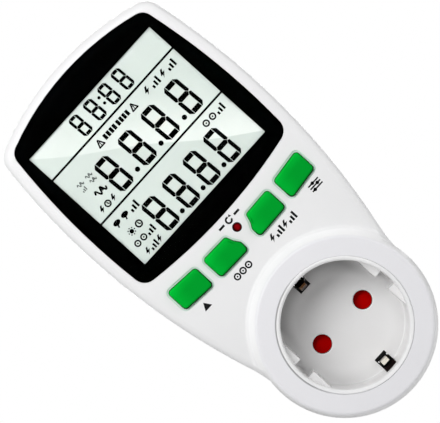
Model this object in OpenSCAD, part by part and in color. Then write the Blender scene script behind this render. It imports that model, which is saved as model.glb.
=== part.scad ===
// Plug-in energy monitor with a pass-through earthed socket.
// Every module works in a bench frame: x to the right, y from the socket up to the display, z to the front.
// bench() then stands the part up: display up (+Z), front to -Y, plug pins to +Y.
// The origin is the centre of the plug's end face, on the axis that plug and socket share.

/* [Body] */
// Widest width of the housing
body_w = 76; // [74:0.5:80]
// Height of the top edge above the socket axis
head_reach = 120.5; // [119:0.5:126]
// Radius of the long bowed sides
side_r = 234; // [210:1:260]
// Height of the widest place above the socket axis
side_peak = 72.5; // [68:0.5:77]
// Radius of the bowed top edge
top_r = 95.5; // [85:0.5:120]
// Radius of the two top corners
corner_r = 6.5; // [6:0.25:8]
// Radius of the hollow where the sides run into the socket collar
neck_r = 36; // [20:1:36]
// Depth of the housing, back to face
body_t = 38; // [37:0.5:40]
// Share of the depth that the rear cover takes
rear_t = 17; // [16:0.5:18]
// Wall of both covers
wall = 2.2; // [1.8:0.1:2.4]
// Wall behind the face
face_wall = 3; // [2.6:0.1:3.2]
// Rounding of the front and back edges
edge_r = 3; // [2.5:0.25:4]
// Chamfer of both covers at the parting line
parting_chamfer = 0.35; // [0.2:0.05:0.5]

/* [Socket] */
// Diameter of the raised collar
collar_d = 58; // [57:0.1:60]
// Height of the collar above the face
collar_h = 4; // [4:0.5:6]
// Slope of the collar's side, from upright
collar_slope = 35; // [32:1:45]
// How far the collar's upper edge lies in from its outside
collar_in = 1.4; // [1:0.1:1.6]
// Rounding of the collar's upper edge
collar_edge_r = 1.2; // [0.8:0.1:1.5]
// Radius of the hollow between the face and the collar
collar_root_r = 1.6; // [1:0.1:2.2]
// Wall of the collar
collar_wall = 3; // [2.6:0.1:3.4]
// Play round a plug in the socket recess
plug_play = 0.9; // [0.7:0.1:1.3]
// Depth of the socket recess
recess_depth = 17.5; // [17:0.25:18.5]
// Width of the cup's lip that shows inside the collar
lip_w = 1.4; // [0.9:0.1:1.6]
// Wall of the cup
cup_wall = 2.3; // [2:0.1:2.6]
// Thickness of the recess floor
cup_floor = 2.6; // [2.2:0.1:3]
// Distance between the two pin holes, and between the plug pins
pin_pitch = 19; // [18.8:0.1:19.2]
// Diameter of the pin holes in the recess floor
pin_hole_d = 6; // [5.6:0.1:6.2]
// How far the guide ribs stand in from the recess wall
rib_in = 2.7; // [2.5:0.1:3.3]
// Gap between the two ribs of a side
rib_gap = 5.7; // [5.2:0.1:6.2]
// How far the ribs end below the rim
rib_drop = 4; // [3:0.5:6]
// Width of the earth slots
earth_slot_w = 4.4; // [4.4:0.1:5.2]
// How far the earth slots reach in from the recess wall
earth_slot_in = 4.4; // [4.2:0.1:5.2]
// Turn of the safety shutter from closed to open
shutter_turn = 42; // [41:0.5:44]

/* [Plug] */
// Diameter of the plug pins
pin_d = 4.8; // [4:0.1:4.8]
// Length of the plug pins
pin_len = 19; // [18:0.5:20]
// Diameter of the plug boss
plug_d = 38.4; // [38:0.1:38.8]
// Height of the plug boss behind the housing
plug_h = 17; // [16.5:0.25:18]
// Width of the plug boss over its flats
plug_flat = 33.4; // [33:0.1:34]
// Width of the guide rib on each flat
plug_rib_w = 5; // [4.6:0.1:5.2]

/* [Display] */
// Housing left beside the window, at the widest place
window_side = 10.05; // [9.8:0.05:11.5]
// Housing left above the window
window_head = 13; // [12.5:0.1:14]
// Bezel left below the window
window_foot = 7.7; // [7.3:0.1:8.5]
// Rim of housing left beside the bezel
bezel_side = 4.1; // [3.6:0.1:4.5]
// Rim of housing left above the bezel
bezel_top = 3.1; // [2.8:0.1:4]
// Height of the bezel's lowest point above the socket axis
bezel_base = 51; // [50.5:0.1:53]
// Radius of the bezel's bowed lower edge
bezel_base_r = 178; // [150:1:220]
// Radius of the bezel's upper corners
bezel_corner_top = 4.25; // [4:0.25:6]
// Radius of the bezel's lower corners
bezel_corner_base = 4.5; // [3.5:0.25:5.5]
// Thickness of the black mask under the lens
mask_t = 0.3; // [0.2:0.05:0.4]
// Thickness of the clear lens
lens_t = 1.3; // [1:0.05:1.5]

/* [Keys] */
// Housing left beside the outer keys, at the widest place
key_side = 8.2; // [8:0.1:9.5]
// Distance of the keys from the bezel, at the outer keys' lower inner corner
key_drop = 12.4; // [12:0.1:13]
// Height of a key
key_h = 7.75; // [7:0.05:8]
// How far the green keys stand above the face
key_proud = 1.2; // [0.9:0.1:1.6]
// Travel of a key
key_travel = 0.8; // [0.5:0.05:0.9]
// Gap round a key in its well
key_gap = 0.25; // [0.2:0.05:0.35]
// Rounding of a key's upper edge
key_edge_r = 0.7; // [0.4:0.05:0.8]
// Width of the shallow step round each well
key_step_w = 0.6; // [0.4:0.05:0.7]
// Diameter of the reset key
reset_d = 2.6; // [2.2:0.1:3]
// Depth of the reset key below the face
reset_sunk = 0.6; // [0.4:0.1:1]

/* [Hidden] */
// Small overlap that makes cuts clean
eps = 0.1;
// Overlap of a post or a rib with the wall it grows from
join = 0.5;
$fn = 64;

// Levels along z
z_back = plug_h;
z_inner = z_back + wall;
z_part = z_back + rear_t;
z_face = z_back + body_t;
z_ceiling = z_face - face_wall;
z_rim = z_face + collar_h;
z_floor = z_rim - recess_depth;
z_under = z_floor - cup_floor;
shutter_room = 4.9;
shutter_air = 0.3;
shutter_hub_r = 5;
shutter_cover = 0.9;
z_deck = z_under - shutter_room;
lcd_t = 2.8;
lcd_air = 0.2;
lcd_stand = 7.2;
board_t = 1.6;
z_mask = z_face - lens_t - mask_t;
z_lcd = z_mask - lcd_air - lcd_t;
z_main = z_lcd - lcd_stand - board_t;
z_main_top = z_main + board_t;
power_stand = 5.8;
z_power = z_inner + power_stand;
z_power_top = z_power + board_t;
board_gap = z_main - z_power_top;

// Lip of the rear cover inside the front one
tongue_t = 1.1;
tongue_h = 1.6;
tongue_root = 3;
tongue_gap = 0.15;

// Housing outline: arcs that run into each other
collar_r = collar_d / 2;
collar_top_r = collar_r - collar_in;
z_slope = z_rim - collar_in / tan(collar_slope);
end_inset = 0.3;
end_r = collar_r - end_inset;
socket_c = [0, 0];
side_c = [body_w / 2 - side_r, side_peak];
top_c = [0, head_reach - top_r];

// Half the width of the housing at height y
function half_width(y) = side_c[0] + sqrt(side_r * side_r - (y - side_peak) * (y - side_peak));

// Cover screws, from the back
screw_head_margin = 7.7;
screw_side = 8.6;
screw_mid_rise = 0.6;
screw_mid_y = bezel_base + screw_mid_rise;
screw_low_y = 22.5;
screw_mid_x = half_width(screw_mid_y) - screw_side;
screw_low_x = half_width(screw_low_y) - screw_side;
screw_at = [
    [0, head_reach - screw_head_margin],
    [screw_mid_x, screw_mid_y],
    [-screw_mid_x, screw_mid_y],
    [screw_low_x, screw_low_y],
    [-screw_low_x, screw_low_y]
];
screw_d = 2.8;
screw_head_d = 6;
screw_head_h = 2.2;
screw_seat = 7;
screw_bite = 10;
screw_spare = 1;
screw_grip = 0.05;
screw_play = 0.3;
screw_head_play = 0.4;
cross_w = 0.8;
cross_len = 3.4;
cross_deep = 1.4;
boss_r = 2.9;
boss_gap = 0.5;
well_r = 4.4;

// Stakes that hold the two boards
stake_r = 1.2;
stake_head_r = 2.2;
stake_head_h = 0.9;
stake_gap = 0.15;
stand_r = 2.6;
stake_side = 21.2;
stake_head_margin = 7.5;
main_stake_x = body_w / 2 - stake_side;
main_stake_rise = 0.4;
main_stake_y = bezel_base + main_stake_rise;
main_stakes = [
    [main_stake_x, main_stake_y],
    [-main_stake_x, main_stake_y],
    [main_stake_x, head_reach - stake_head_margin],
    [-main_stake_x, head_reach - stake_head_margin]
];

// Boards
board_inset = 3.2;
main_base = 35;
power_side = 15;
power_w = body_w - 2 * power_side;
power_base = 36;
power_head = 20.5;
power_top = head_reach - power_head;
power_stake_edge = 4;
power_stake_end = 5;
power_stake_x = power_w / 2 - power_stake_edge;
power_stakes = [
    [power_stake_x, power_base + power_stake_end],
    [-power_stake_x, power_base + power_stake_end],
    [power_stake_x, power_top - power_stake_end],
    [-power_stake_x, power_top - power_stake_end]
];

// Parts on the boards
chip_w = 10;
chip_t = 1.4;
chip_lead = 1;
chip_lead_t = 0.3;
chip_at = [12, bezel_base + 21];
crystal_r = 1;
crystal_len = 6;
crystal_at = [2, bezel_base + 21];
battery_r = 5.8;
battery_air = 1.4;
battery_at = [-14, power_top - 10];
header_pins = 8;
header_step = 2.54;
header_w = 2.5;
header_end = 3;
header_pin_r = 0.32;
shunt_span = 12;
shunt_rise = 3;
shunt_w = 2.4;
shunt_at = [-6, power_base + 5];
dropper_len = 18;
dropper_w = 8;
dropper_air = 2.5;
dropper_at = [power_w / 2 - 15, power_top - 16];
filter_air = 3;
filter_r = (board_gap - filter_air) / 2;
filter_len = 11;
filter_edge = 6;
filter_gap = 1;
filter_step = 2 * filter_r + filter_gap;
filter_y = power_base + 20;
varistor_air = 1.4;
varistor_r = (board_gap - varistor_air) / 2;
varistor_t = 4;
varistor_at = [power_w / 2 - 9, power_base + 18];

// Display stack
window_w = body_w - 2 * window_side;
window_base = bezel_base + window_foot;
window_h = head_reach - window_head - window_base;
window_y = window_base + window_h / 2;
lcd_over_side = 1.5;
lcd_over_head = 1;
lcd_over_foot = 2.5;
lcd_w = window_w + 2 * lcd_over_side;
lcd_base = window_base - lcd_over_foot;
lcd_top = window_base + window_h + lcd_over_head;
lcd_h = lcd_top - lcd_base;
lcd_y = lcd_base + lcd_h / 2;
holder_wall = 1.1;
lcd_gap = 0.1;
ledge_w = 1.8;
lcd_ledge_h = 1.6;
glass_t = 1.3;
strip_w = 1.6;
strip_end = 3;
strip_len = lcd_w - 2 * strip_end;
strip_gap = 0.1;
strip_in = 1;
bezel_gap = 0.1;
lens_sunk = 0.05;

// Keys: the right-hand pair, mirrored for the left
key_centre = 2.8;
key_between = 3.5;
key_rise_outer = 1.15;
key_rise_inner = 0.3;
key_step_down = 0.6;
key_corner_r = 1.1;
inner_key_more = 0.25;
notch_top = [2.1, 0];
notch_mid = [1.3, 2.6];
notch_low = [0, 4.6];
notch_tip_r = 0.9;
notch_r = 5;
key_pair_w = (body_w / 2 - key_side - key_centre - key_between) / 2;
inner_x = key_centre + key_pair_w + inner_key_more;
outer_x = inner_x + key_between;
outer_end = body_w / 2 - key_side;
outer_y = bezel_base - key_drop;
inner_y = outer_y - key_step_down;
outer_key = [
    [outer_x, outer_y],
    [outer_end, outer_y + key_rise_outer],
    [outer_end, outer_y + key_rise_outer + key_h],
    [outer_x, outer_y + key_h]
];
outer_key_r = [key_corner_r, key_corner_r, key_corner_r, key_corner_r];
inner_key = [
    [key_centre, inner_y],
    [inner_x, inner_y + key_rise_inner],
    [inner_x, inner_y + key_rise_inner + key_h],
    for (p = [notch_top, notch_mid, notch_low]) [key_centre + p[0], inner_y + key_h - p[1]]
];
inner_key_r = [key_corner_r, key_corner_r, key_corner_r, notch_tip_r, notch_r, key_corner_r];
outer_switch = [(outer_x + outer_end) / 2, outer_y + (key_h + key_rise_outer) / 2];
inner_switch_in = 0.6;
inner_switch = [(key_centre + inner_x) / 2 + inner_switch_in, inner_y + key_h / 2 + key_rise_inner];
reset_drop = 5.8;
reset_at = [0, bezel_base - reset_drop];
key_flange = 0.8;
key_flange_t = 1;
key_air = 0.1;
key_stem_r = 1.8;
key_step_h = 0.3;
switch_w = 6;
switch_h = 3.5;
plunger_r = 1.7;
plunger_gap = 0.1;
plunger_proud = 1.5;
plunger_deep = 1.7;
plunger_spare = 0.2;
z_plunger = z_main_top + switch_h + plunger_proud;
z_plunger_foot = z_main_top + switch_h - plunger_deep;

// Socket and contacts
pin_x = pin_pitch / 2;
plug_r = plug_d / 2;
recess_r = plug_r + plug_play;
cup_r = recess_r + cup_wall;
lip_r = recess_r + lip_w;
lip_gap = 0.05;
lip_flat = 0.2;
lip_round = lip_w - lip_flat;
floor_round = 0.6;
hole_chamfer = 0.5;
collar_lid = 2.5;
cup_shelf = z_rim - collar_lid - eps;
skirt_w = 2.2;
post_r = 2.5;
post_end = 2;
pivot_gap = 0.05;
deck_t = 3;
carrier_in = 0.9;
carrier_r = cup_r - carrier_in;
carrier_skirt = 1.8;
sleeve_gap = 0.2;
sleeve_play = 0.05;
sleeve_bore = pin_d / 2 + sleeve_play;
sleeve_air = 0.5;
sleeve_slit = 0.8;
sleeve_root = 3;
sleeve_r = 3.4;
tower_wall = 1.6;
contact_w = 8;
contact_t = 1;
strap_t = 0.8;
insulator_t = 1.4;
insulator_over = 1;
strap_rise = 1;
tower_air = 1;
strap_way_air = 3;
tail_in = 2;
z_strap = z_inner + strap_rise;
z_live_base = z_strap + strap_t + insulator_t;
z_tower = z_live_base + contact_t + tower_air;
strap_way_w = pin_pitch + contact_w + strap_way_air;
tail_w = 3;
tail_end = power_base + tail_in;
earth_w = 3.4;
clip_w = 2.4;
earth_sunk = 0.6;
earth_y = plug_r - earth_sunk;
earth_bulge = 1.7;
earth_rise = 10.5;
earth_bow = 144;
earth_clip_base = 0.5;
earth_slot_drop = 5.5;
earth_way = 2;
link_rise = 3;
earth_gap = 0.4;
earth_back = 0.25;
earth_cut = 3;
earth_foot = 2;
pin_root_r = 2.9;
pin_root_gap = 0.05;
pin_tip = 2;
plug_face_t = 2.6;
plug_wall = 2.8;
plug_bevel = 1;
tower_r = 4.6;

KEYS = ["up_key", "cost_key", "energy_key", "set_key", "reset_key"];

// Direction from p to q
function aim(p, q) = atan2(q[1] - p[1], q[0] - p[0]);
function full_turn(a) = (a + 360) % 360;
function unit(v) = v / norm(v);

// Where two circles cross, on the left (+1) or the right (-1) of the line from a to b
function crossing(a, ra, b, rb, side) =
    let (d = norm(b - a), u = (b - a) / d, along = (ra * ra - rb * rb + d * d) / (2 * d))
    a + along * u + side * sqrt(ra * ra - along * along) * [-u[1], u[0]];

// Points along an arc, without its last one
function arc(c, r, from, to, n) =
    [for (i = [0 : n - 1]) let (a = from + (to - from) * i / n) c + r * [cos(a), sin(a)]];

// A right half that starts on the centre line, closed by its crown and its mirror image
function both_sides(half, crown) =
    concat(half, [[0, crown]], [for (i = [len(half) - 1 : -1 : 1]) [-half[i][0], half[i][1]]]);

corner_c = crossing(side_c, side_r - corner_r, top_c, top_r - corner_r, 1);
neck_c = crossing(side_c, side_r + neck_r, socket_c, end_r + neck_r, 1);

// Housing outline, moved inwards by d
function body_outline(d) = both_sides(
    concat(
        arc(socket_c, end_r - d, -90, aim(socket_c, neck_c), 14),
        arc(neck_c, neck_r + d, full_turn(aim(neck_c, socket_c)), full_turn(aim(neck_c, side_c)), 5),
        arc(side_c, side_r - d, aim(side_c, neck_c), aim(side_c, corner_c), 14),
        arc(corner_c, corner_r - d, aim(side_c, corner_c), aim(top_c, corner_c), 8),
        arc(top_c, top_r - d, aim(top_c, corner_c), 90, 6)
    ),
    head_reach - d
);

bezel_side_r = side_r - bezel_side;
bezel_top_r = top_r - bezel_top;
base_c = [0, bezel_base + bezel_base_r];
low_c = crossing(side_c, bezel_side_r - bezel_corner_base, base_c, bezel_base_r - bezel_corner_base, -1);
high_c = crossing(side_c, bezel_side_r - bezel_corner_top, top_c, bezel_top_r - bezel_corner_top, 1);

// Outline of the display bezel, moved inwards by d
function bezel_outline(d) = both_sides(
    concat(
        arc(base_c, bezel_base_r - d, -90, aim(base_c, low_c), 6),
        arc(low_c, bezel_corner_base - d, aim(base_c, low_c), aim(side_c, low_c), 6),
        arc(side_c, bezel_side_r - d, aim(side_c, low_c), aim(side_c, high_c), 10),
        arc(high_c, bezel_corner_top - d, aim(side_c, high_c), aim(top_c, high_c), 6),
        arc(top_c, bezel_top_r - d, aim(top_c, high_c), 90, 6)
    ),
    head_reach - bezel_top - d
);

// Corner i of a polygon that runs anticlockwise, moved inwards by d and rounded
function rounded_corner(pts, radii, i, d, n) =
    let (
        p = pts[i],
        u = unit(pts[(i + len(pts) - 1) % len(pts)] - p),
        v = unit(pts[(i + 1) % len(pts)] - p),
        convex = cross(v, u) > 0 ? 1 : -1,
        half = acos(u * v) / 2,
        r = radii[i] - convex * d,
        c = p + unit(u + v) * radii[i] / sin(half),
        from = aim([0, 0], convex * [-u[1], u[0]]),
        sweep = convex * (180 - 2 * half)
    )
    [for (k = [0 : n]) let (a = from + sweep * k / n) c + r * [cos(a), sin(a)]];

function rounded_outline(pts, radii, d) =
    [for (i = [0 : len(pts) - 1]) each rounded_corner(pts, radii, i, d, 5)];

// Quarter-round edge: pairs of inset and height, from the upright wall to the flat
function quarter_edge(r, top, n) =
    [for (i = [0 : n]) let (a = 90 * i / n) [r * (1 - cos(a)), top - r + r * sin(a)]];

module bench() {
    rotate([90, 0, 0]) children();
}

// Skin through a stack of outlines that have the same number of points: [points, height] from the bottom up
module loft(rings) {
    n = len(rings[0][0]);
    m = len(rings);
    polyhedron(
        points = [for (r = rings) for (p = r[0]) [p[0], p[1], r[1]]],
        faces = concat(
            [[for (i = [0 : n - 1]) i]],
            [[for (i = [n - 1 : -1 : 0]) (m - 1) * n + i]],
            [for (k = [0 : m - 2], i = [0 : n - 1])
                let (j = (i + 1) % n, low = k * n, up = low + n)
                each [[low + i, up + i, up + j], [low + i, up + j, low + j]]]
        )
    );
}

module slab(pts, from, to) {
    translate([0, 0, from]) linear_extrude(to - from) polygon(pts);
}

module disc(r, from, to) {
    translate([0, 0, from]) cylinder(r = r, h = to - from);
}

module box(size, at) {
    translate([at[0] - size[0] / 2, at[1] - size[1] / 2, at[2]]) cube(size);
}

module at_each(places) {
    for (p = places) translate([p[0], p[1], 0]) children();
}

// Housing

module front_shell() {
    loft([for (e = concat(
        [[parting_chamfer, z_part], [0, z_part + parting_chamfer]],
        quarter_edge(edge_r, z_face, 6)
    )) [body_outline(e[0]), e[1]]]);
    rotate_extrude($fn = 96) polygon(concat(
        [[0, z_part], [collar_r - parting_chamfer, z_part], [collar_r, z_part + parting_chamfer]],
        [[collar_r, z_slope]],
        collar_edge(),
        [[0, z_rim]]
    ));
    intersection() {
        slab(body_outline(edge_r / 2), z_face - join, z_rim);
        collar_root();
    }
}

// Rounding from the collar's sloping side to its flat
function collar_edge() =
    let (c = [collar_top_r - collar_edge_r * tan(45 - collar_slope / 2), z_rim - collar_edge_r])
    [for (i = [0 : 6]) let (a = collar_slope + (90 - collar_slope) * i / 6)
        c + collar_edge_r * [cos(a), sin(a)]];

// Foot of the sloping side, with a hollow fillet out to the face
module collar_root() {
    foot_r = collar_top_r + collar_h * tan(collar_slope);
    c = [foot_r + collar_root_r * tan(45 - collar_slope / 2), z_face + collar_root_r];
    rotate_extrude($fn = 96) polygon(concat(
        [[collar_r - join, z_face - join], [c[0], z_face - join]],
        [for (i = [0 : 6]) let (a = 270 - (90 - collar_slope) * i / 6)
            c + collar_root_r * [cos(a), sin(a)]],
        [[collar_r, z_slope], [collar_r - join, z_slope]]
    ));
}

module key_wells() {
    step = key_gap + key_step_w;
    for (side = [0, 1]) mirror([side, 0, 0]) {
        slab(rounded_outline(outer_key, outer_key_r, -key_gap), z_ceiling - eps, z_face + eps);
        slab(rounded_outline(inner_key, inner_key_r, -key_gap), z_ceiling - eps, z_face + eps);
        slab(rounded_outline(outer_key, outer_key_r, -step), z_face - key_step_h, z_face + eps);
        slab(rounded_outline(inner_key, inner_key_r, -step), z_face - key_step_h, z_face + eps);
    }
    translate(reset_at) disc(reset_d / 2 + key_gap, z_ceiling - eps, z_face + eps);
}

module front_cover() {
    color("WhiteSmoke") bench() difference() {
        union() {
            difference() {
                front_shell();
                slab(body_outline(wall), z_part - eps, z_ceiling);
                disc(collar_r - collar_wall, z_ceiling - eps, z_rim - collar_lid);
            }
            at_each(screw_at) disc(boss_r, z_part, z_ceiling + join);
            at_each(main_stakes) {
                disc(stand_r, z_main_top, z_ceiling + join);
                disc(stake_r, z_main - eps, z_main_top + eps);
                disc(stake_head_r, z_main - stake_head_h, z_main);
            }
        }
        disc(lip_r + lip_gap, z_rim - collar_lid - eps, z_rim + eps);
        slab(bezel_outline(-bezel_gap), z_mask, z_face + eps);
        box([lcd_w + 2 * lcd_gap, lcd_h + 2 * lcd_gap, face_wall + 2 * eps], [0, lcd_y, z_ceiling - eps]);
        key_wells();
        at_each(screw_at) disc(screw_d / 2 + screw_grip, z_part - eps, z_part + screw_bite + screw_spare);
    }
}

// Pairs of inset and height of the rear cover's skin, from the back up
function rear_edge() = concat(
    [for (i = [0 : 6]) let (a = 15 * i) edge_r * [1 - sin(a), 1 - cos(a)] + [0, z_back]],
    [[0, z_part - parting_chamfer], [parting_chamfer, z_part]]
);

module rear_shell() {
    loft([for (e = rear_edge()) [body_outline(e[0]), e[1]]]);
    rotate_extrude($fn = 96) polygon(concat(
        [[0, z_back]],
        [for (e = rear_edge()) [collar_r - e[0], e[1]]],
        [[0, z_part]]
    ));
}

// Lip inside the rear cover that reaches into the front one
module tongue() {
    foot = z_part - tongue_root;
    difference() {
        union() {
            slab(body_outline(wall - join), foot, z_part);
            slab(body_outline(wall + tongue_gap), foot, z_part + tongue_h);
        }
        slab(body_outline(wall + tongue_t), foot - eps, z_part + tongue_h + eps);
    }
}

module plug_boss() {
    side = plug_r + eps;
    intersection() {
        linear_extrude(z_back + join) union() {
            intersection() {
                circle(plug_r);
                square([plug_flat, plug_d], center = true);
            }
            intersection() {
                circle(plug_r);
                square([plug_d, plug_rib_w], center = true);
            }
        }
        rotate_extrude() polygon(
            [[0, 0], [plug_r - plug_bevel, 0], [side, plug_bevel + eps], [side, z_inner], [0, z_inner]]
        );
    }
}

module plug_hollow() {
    difference() {
        intersection() {
            disc(plug_r - plug_wall, plug_face_t, z_inner + eps);
            box([plug_flat - 2 * plug_wall, plug_d, z_inner], [0, 0, plug_face_t]);
        }
        for (side = [-1, 1]) translate([side * pin_x, 0]) disc(tower_r, 0, z_back + join);
    }
}

module rear_cover() {
    color("WhiteSmoke") bench() difference() {
        union() {
            difference() {
                rear_shell();
                slab(body_outline(wall), z_inner, z_part + eps);
            }
            tongue();
            at_each(screw_at) disc(well_r, z_inner - join, z_part);
            at_each(power_stakes) {
                disc(stand_r, z_inner - join, z_power);
                disc(stake_r, z_power - eps, z_power_top + eps);
                disc(stake_head_r, z_power_top, z_power_top + stake_head_h);
            }
            plug_boss();
        }
        at_each(screw_at) {
            disc(screw_head_d / 2 + screw_head_play, z_back - eps, z_back + screw_seat);
            disc(screw_d / 2 + screw_play, z_back + screw_seat - eps, z_part + eps);
        }
        plug_hollow();
        for (side = [-1, 1]) {
            translate([side * pin_x, 0]) disc(pin_root_r + pin_root_gap, -eps, z_inner + eps);
            box(
                [earth_w + 2 * earth_gap, earth_cut, z_inner],
                [0, side * (earth_y - strap_t / 2 - earth_back + earth_cut / 2), earth_foot - earth_gap]
            );
        }
    }
}

module cover_screw(i) {
    color("Silver") bench() translate([screw_at[i][0], screw_at[i][1], z_back + screw_seat]) difference() {
        union() {
            disc(screw_head_d / 2, -screw_head_h, 0);
            disc(screw_d / 2, -eps, z_part - z_back - screw_seat + screw_bite);
        }
        for (turn = [0, 90]) rotate(turn) box([cross_len, cross_w, cross_deep], [0, 0, -screw_head_h - eps]);
    }
}

// Display

module display_bezel() {
    color("Black") bench() difference() {
        slab(bezel_outline(0), z_mask, z_face - lens_t);
        box([window_w, window_h, z_face], [0, window_y, 0]);
    }
}

module display_lens() {
    color("LightCyan", 0.4) bench() slab(bezel_outline(0), z_face - lens_t, z_face - lens_sunk);
}

module lcd_cell() {
    color("LightGray") bench() {
        box([lcd_w, lcd_h, lcd_t - glass_t], [0, lcd_y, z_lcd]);
        box(
            [lcd_w, lcd_h - lcd_ledge_h, glass_t + eps],
            [0, lcd_y + lcd_ledge_h / 2, z_lcd + lcd_t - glass_t - eps]
        );
    }
}

module lcd_holder() {
    w = lcd_w + 2 * lcd_gap;
    h = lcd_h + 2 * lcd_gap;
    color("White") bench() difference() {
        box(
            [w + 2 * holder_wall, h + 2 * holder_wall, z_ceiling - lcd_air - z_main_top],
            [0, lcd_y, z_main_top]
        );
        box([w, h, lcd_t], [0, lcd_y, z_lcd]);
        box([w - 2 * ledge_w, h - 2 * ledge_w, z_lcd], [0, lcd_y, z_main_top - eps]);
        box(
            [strip_len + 2 * strip_gap, strip_w + 2 * strip_gap, z_lcd],
            [0, lcd_base + strip_in, z_main_top - eps]
        );
    }
}

module rubber_strip() {
    color("DimGray") bench() box([strip_len, strip_w, lcd_stand], [0, lcd_base + strip_in, z_main_top]);
}

module main_board() {
    color("DarkGreen") bench() difference() {
        intersection() {
            slab(body_outline(board_inset), z_main, z_main_top);
            box([body_w, head_reach, z_face], [0, main_base + head_reach / 2, 0]);
        }
        at_each(screw_at) disc(boss_r + boss_gap, z_main - eps, z_main_top + eps);
        at_each(main_stakes) disc(stake_r + stake_gap, z_main - eps, z_main_top + eps);
    }
}

// Keys

module key_body(pts, radii, switch) {
    flange_top = z_ceiling - key_air;
    loft([for (e = concat(
        [[0, flange_top - key_flange_t / 2]],
        quarter_edge(key_edge_r, z_face + key_proud, 4)
    )) [rounded_outline(pts, radii, e[0]), e[1]]]);
    slab(rounded_outline(pts, radii, -key_flange), flange_top - key_flange_t, flange_top);
    translate(switch) disc(key_stem_r, z_plunger, flange_top - key_flange_t / 2);
}

module outer_key_cap(side) {
    color("ForestGreen") bench() mirror([side, 0, 0]) key_body(outer_key, outer_key_r, outer_switch);
}

module inner_key_cap(side) {
    color("ForestGreen") bench() mirror([side, 0, 0]) key_body(inner_key, inner_key_r, inner_switch);
}

module reset_cap() {
    flange_top = z_ceiling - key_air;
    color("DarkRed") bench() translate(reset_at) {
        disc(reset_d / 2, z_plunger, z_face - reset_sunk);
        disc(reset_d / 2 + key_flange, flange_top - key_flange_t, flange_top);
    }
}

// Place of the switch under each key, in the order of KEYS
switch_at = [
    [-outer_switch[0], outer_switch[1]],
    [-inner_switch[0], inner_switch[1]],
    inner_switch,
    outer_switch,
    reset_at
];

module key_switch(i) {
    color("Gray") bench() translate(switch_at[i]) difference() {
        box([switch_w, switch_w, switch_h], [0, 0, z_main_top]);
        disc(plunger_r + plunger_gap, z_plunger_foot - key_travel - plunger_spare, z_plunger);
    }
}

module key_plunger(i) {
    color("Black") bench() translate(switch_at[i]) {
        disc(plunger_r, z_plunger_foot, z_plunger);
    }
}

// Parts on the boards

module meter_chip() {
    span = chip_w + 2 * chip_lead;
    comb = chip_w - 2 * chip_lead;
    color("Black") bench() {
        box([chip_w, chip_w, chip_t], [chip_at[0], chip_at[1], z_main - chip_t]);
        box([span, comb, chip_lead_t], [chip_at[0], chip_at[1], z_main - chip_lead_t]);
        box([comb, span, chip_lead_t], [chip_at[0], chip_at[1], z_main - chip_lead_t]);
    }
}

module clock_crystal() {
    color("Silver") bench() translate([crystal_at[0], crystal_at[1], z_main - crystal_r]) {
        rotate([-90, 0, 0]) cylinder(r = crystal_r, h = crystal_len);
    }
}

module backup_battery() {
    color("SeaGreen") bench() translate(battery_at) disc(battery_r, z_power_top + battery_air, z_main);
}

module board_header() {
    block = [header_pins * header_step, header_w, header_w];
    y = power_top - header_end;
    color("DimGray") bench() {
        box(block, [0, y, z_power_top]);
        box(block, [0, y, z_main - header_w]);
        for (i = [0 : header_pins - 1]) translate([(i - (header_pins - 1) / 2) * header_step, y]) {
            disc(header_pin_r, z_power_top + eps, z_main - eps);
        }
    }
}

module power_board() {
    color("DarkGreen") bench() difference() {
        box([power_w, power_top - power_base, board_t], [0, (power_top + power_base) / 2, z_power]);
        at_each(power_stakes) disc(stake_r + stake_gap, z_power - eps, z_power_top + eps);
    }
}

module current_shunt() {
    color("Peru") bench() translate([shunt_at[0], shunt_at[1], z_power_top]) rotate([90, 0, 0]) {
        linear_extrude(shunt_w, center = true) difference() {
            translate([-shunt_span / 2, 0]) square([shunt_span, shunt_rise]);
            translate([-shunt_span / 2 + strap_t, -eps]) {
                square([shunt_span - 2 * strap_t, shunt_rise - strap_t + eps]);
            }
        }
    }
}

module dropper_capacitor() {
    color("Goldenrod") bench() {
        box([dropper_len, dropper_w, board_gap - dropper_air], [dropper_at[0], dropper_at[1], z_power_top]);
    }
}

module filter_capacitor(i) {
    x = -power_w / 2 + filter_edge + filter_step * i;
    color("SlateBlue") bench() translate([x, filter_y, z_power_top + filter_r]) rotate([-90, 0, 0]) {
        cylinder(r = filter_r, h = filter_len);
    }
}

module surge_varistor() {
    color("RoyalBlue") bench() {
        translate([varistor_at[0], varistor_at[1], z_power_top + varistor_r]) rotate([-90, 0, 0]) {
            cylinder(r = varistor_r, h = varistor_t);
        }
    }
}

// Socket

module cup_profile() {
    polygon(concat(
        [[0, z_under], [cup_r - skirt_w, z_under], [cup_r - skirt_w, z_deck], [cup_r, z_deck]],
        [[cup_r, cup_shelf], [lip_r, cup_shelf], [lip_r, z_rim - lip_flat]],
        [for (i = [0 : 5]) let (a = 18 * i)
            [lip_r - lip_flat - lip_round * sin(a), z_rim - lip_round * (1 - cos(a))]],
        [for (i = [0 : 5]) let (a = 18 * i)
            [recess_r - floor_round * (1 - cos(a)), z_floor + floor_round * (1 - sin(a))]],
        [[0, z_floor]]
    ));
}

module guide_ribs() {
    intersection() {
        disc(recess_r + join, z_floor - join, z_rim - rib_drop);
        for (sx = [0, 1], sy = [0, 1]) mirror([sx, 0, 0]) mirror([0, sy, 0]) {
            translate([recess_r - rib_in, rib_gap / 2, 0]) cube([recess_r, recess_r, z_rim]);
        }
    }
}

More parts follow.
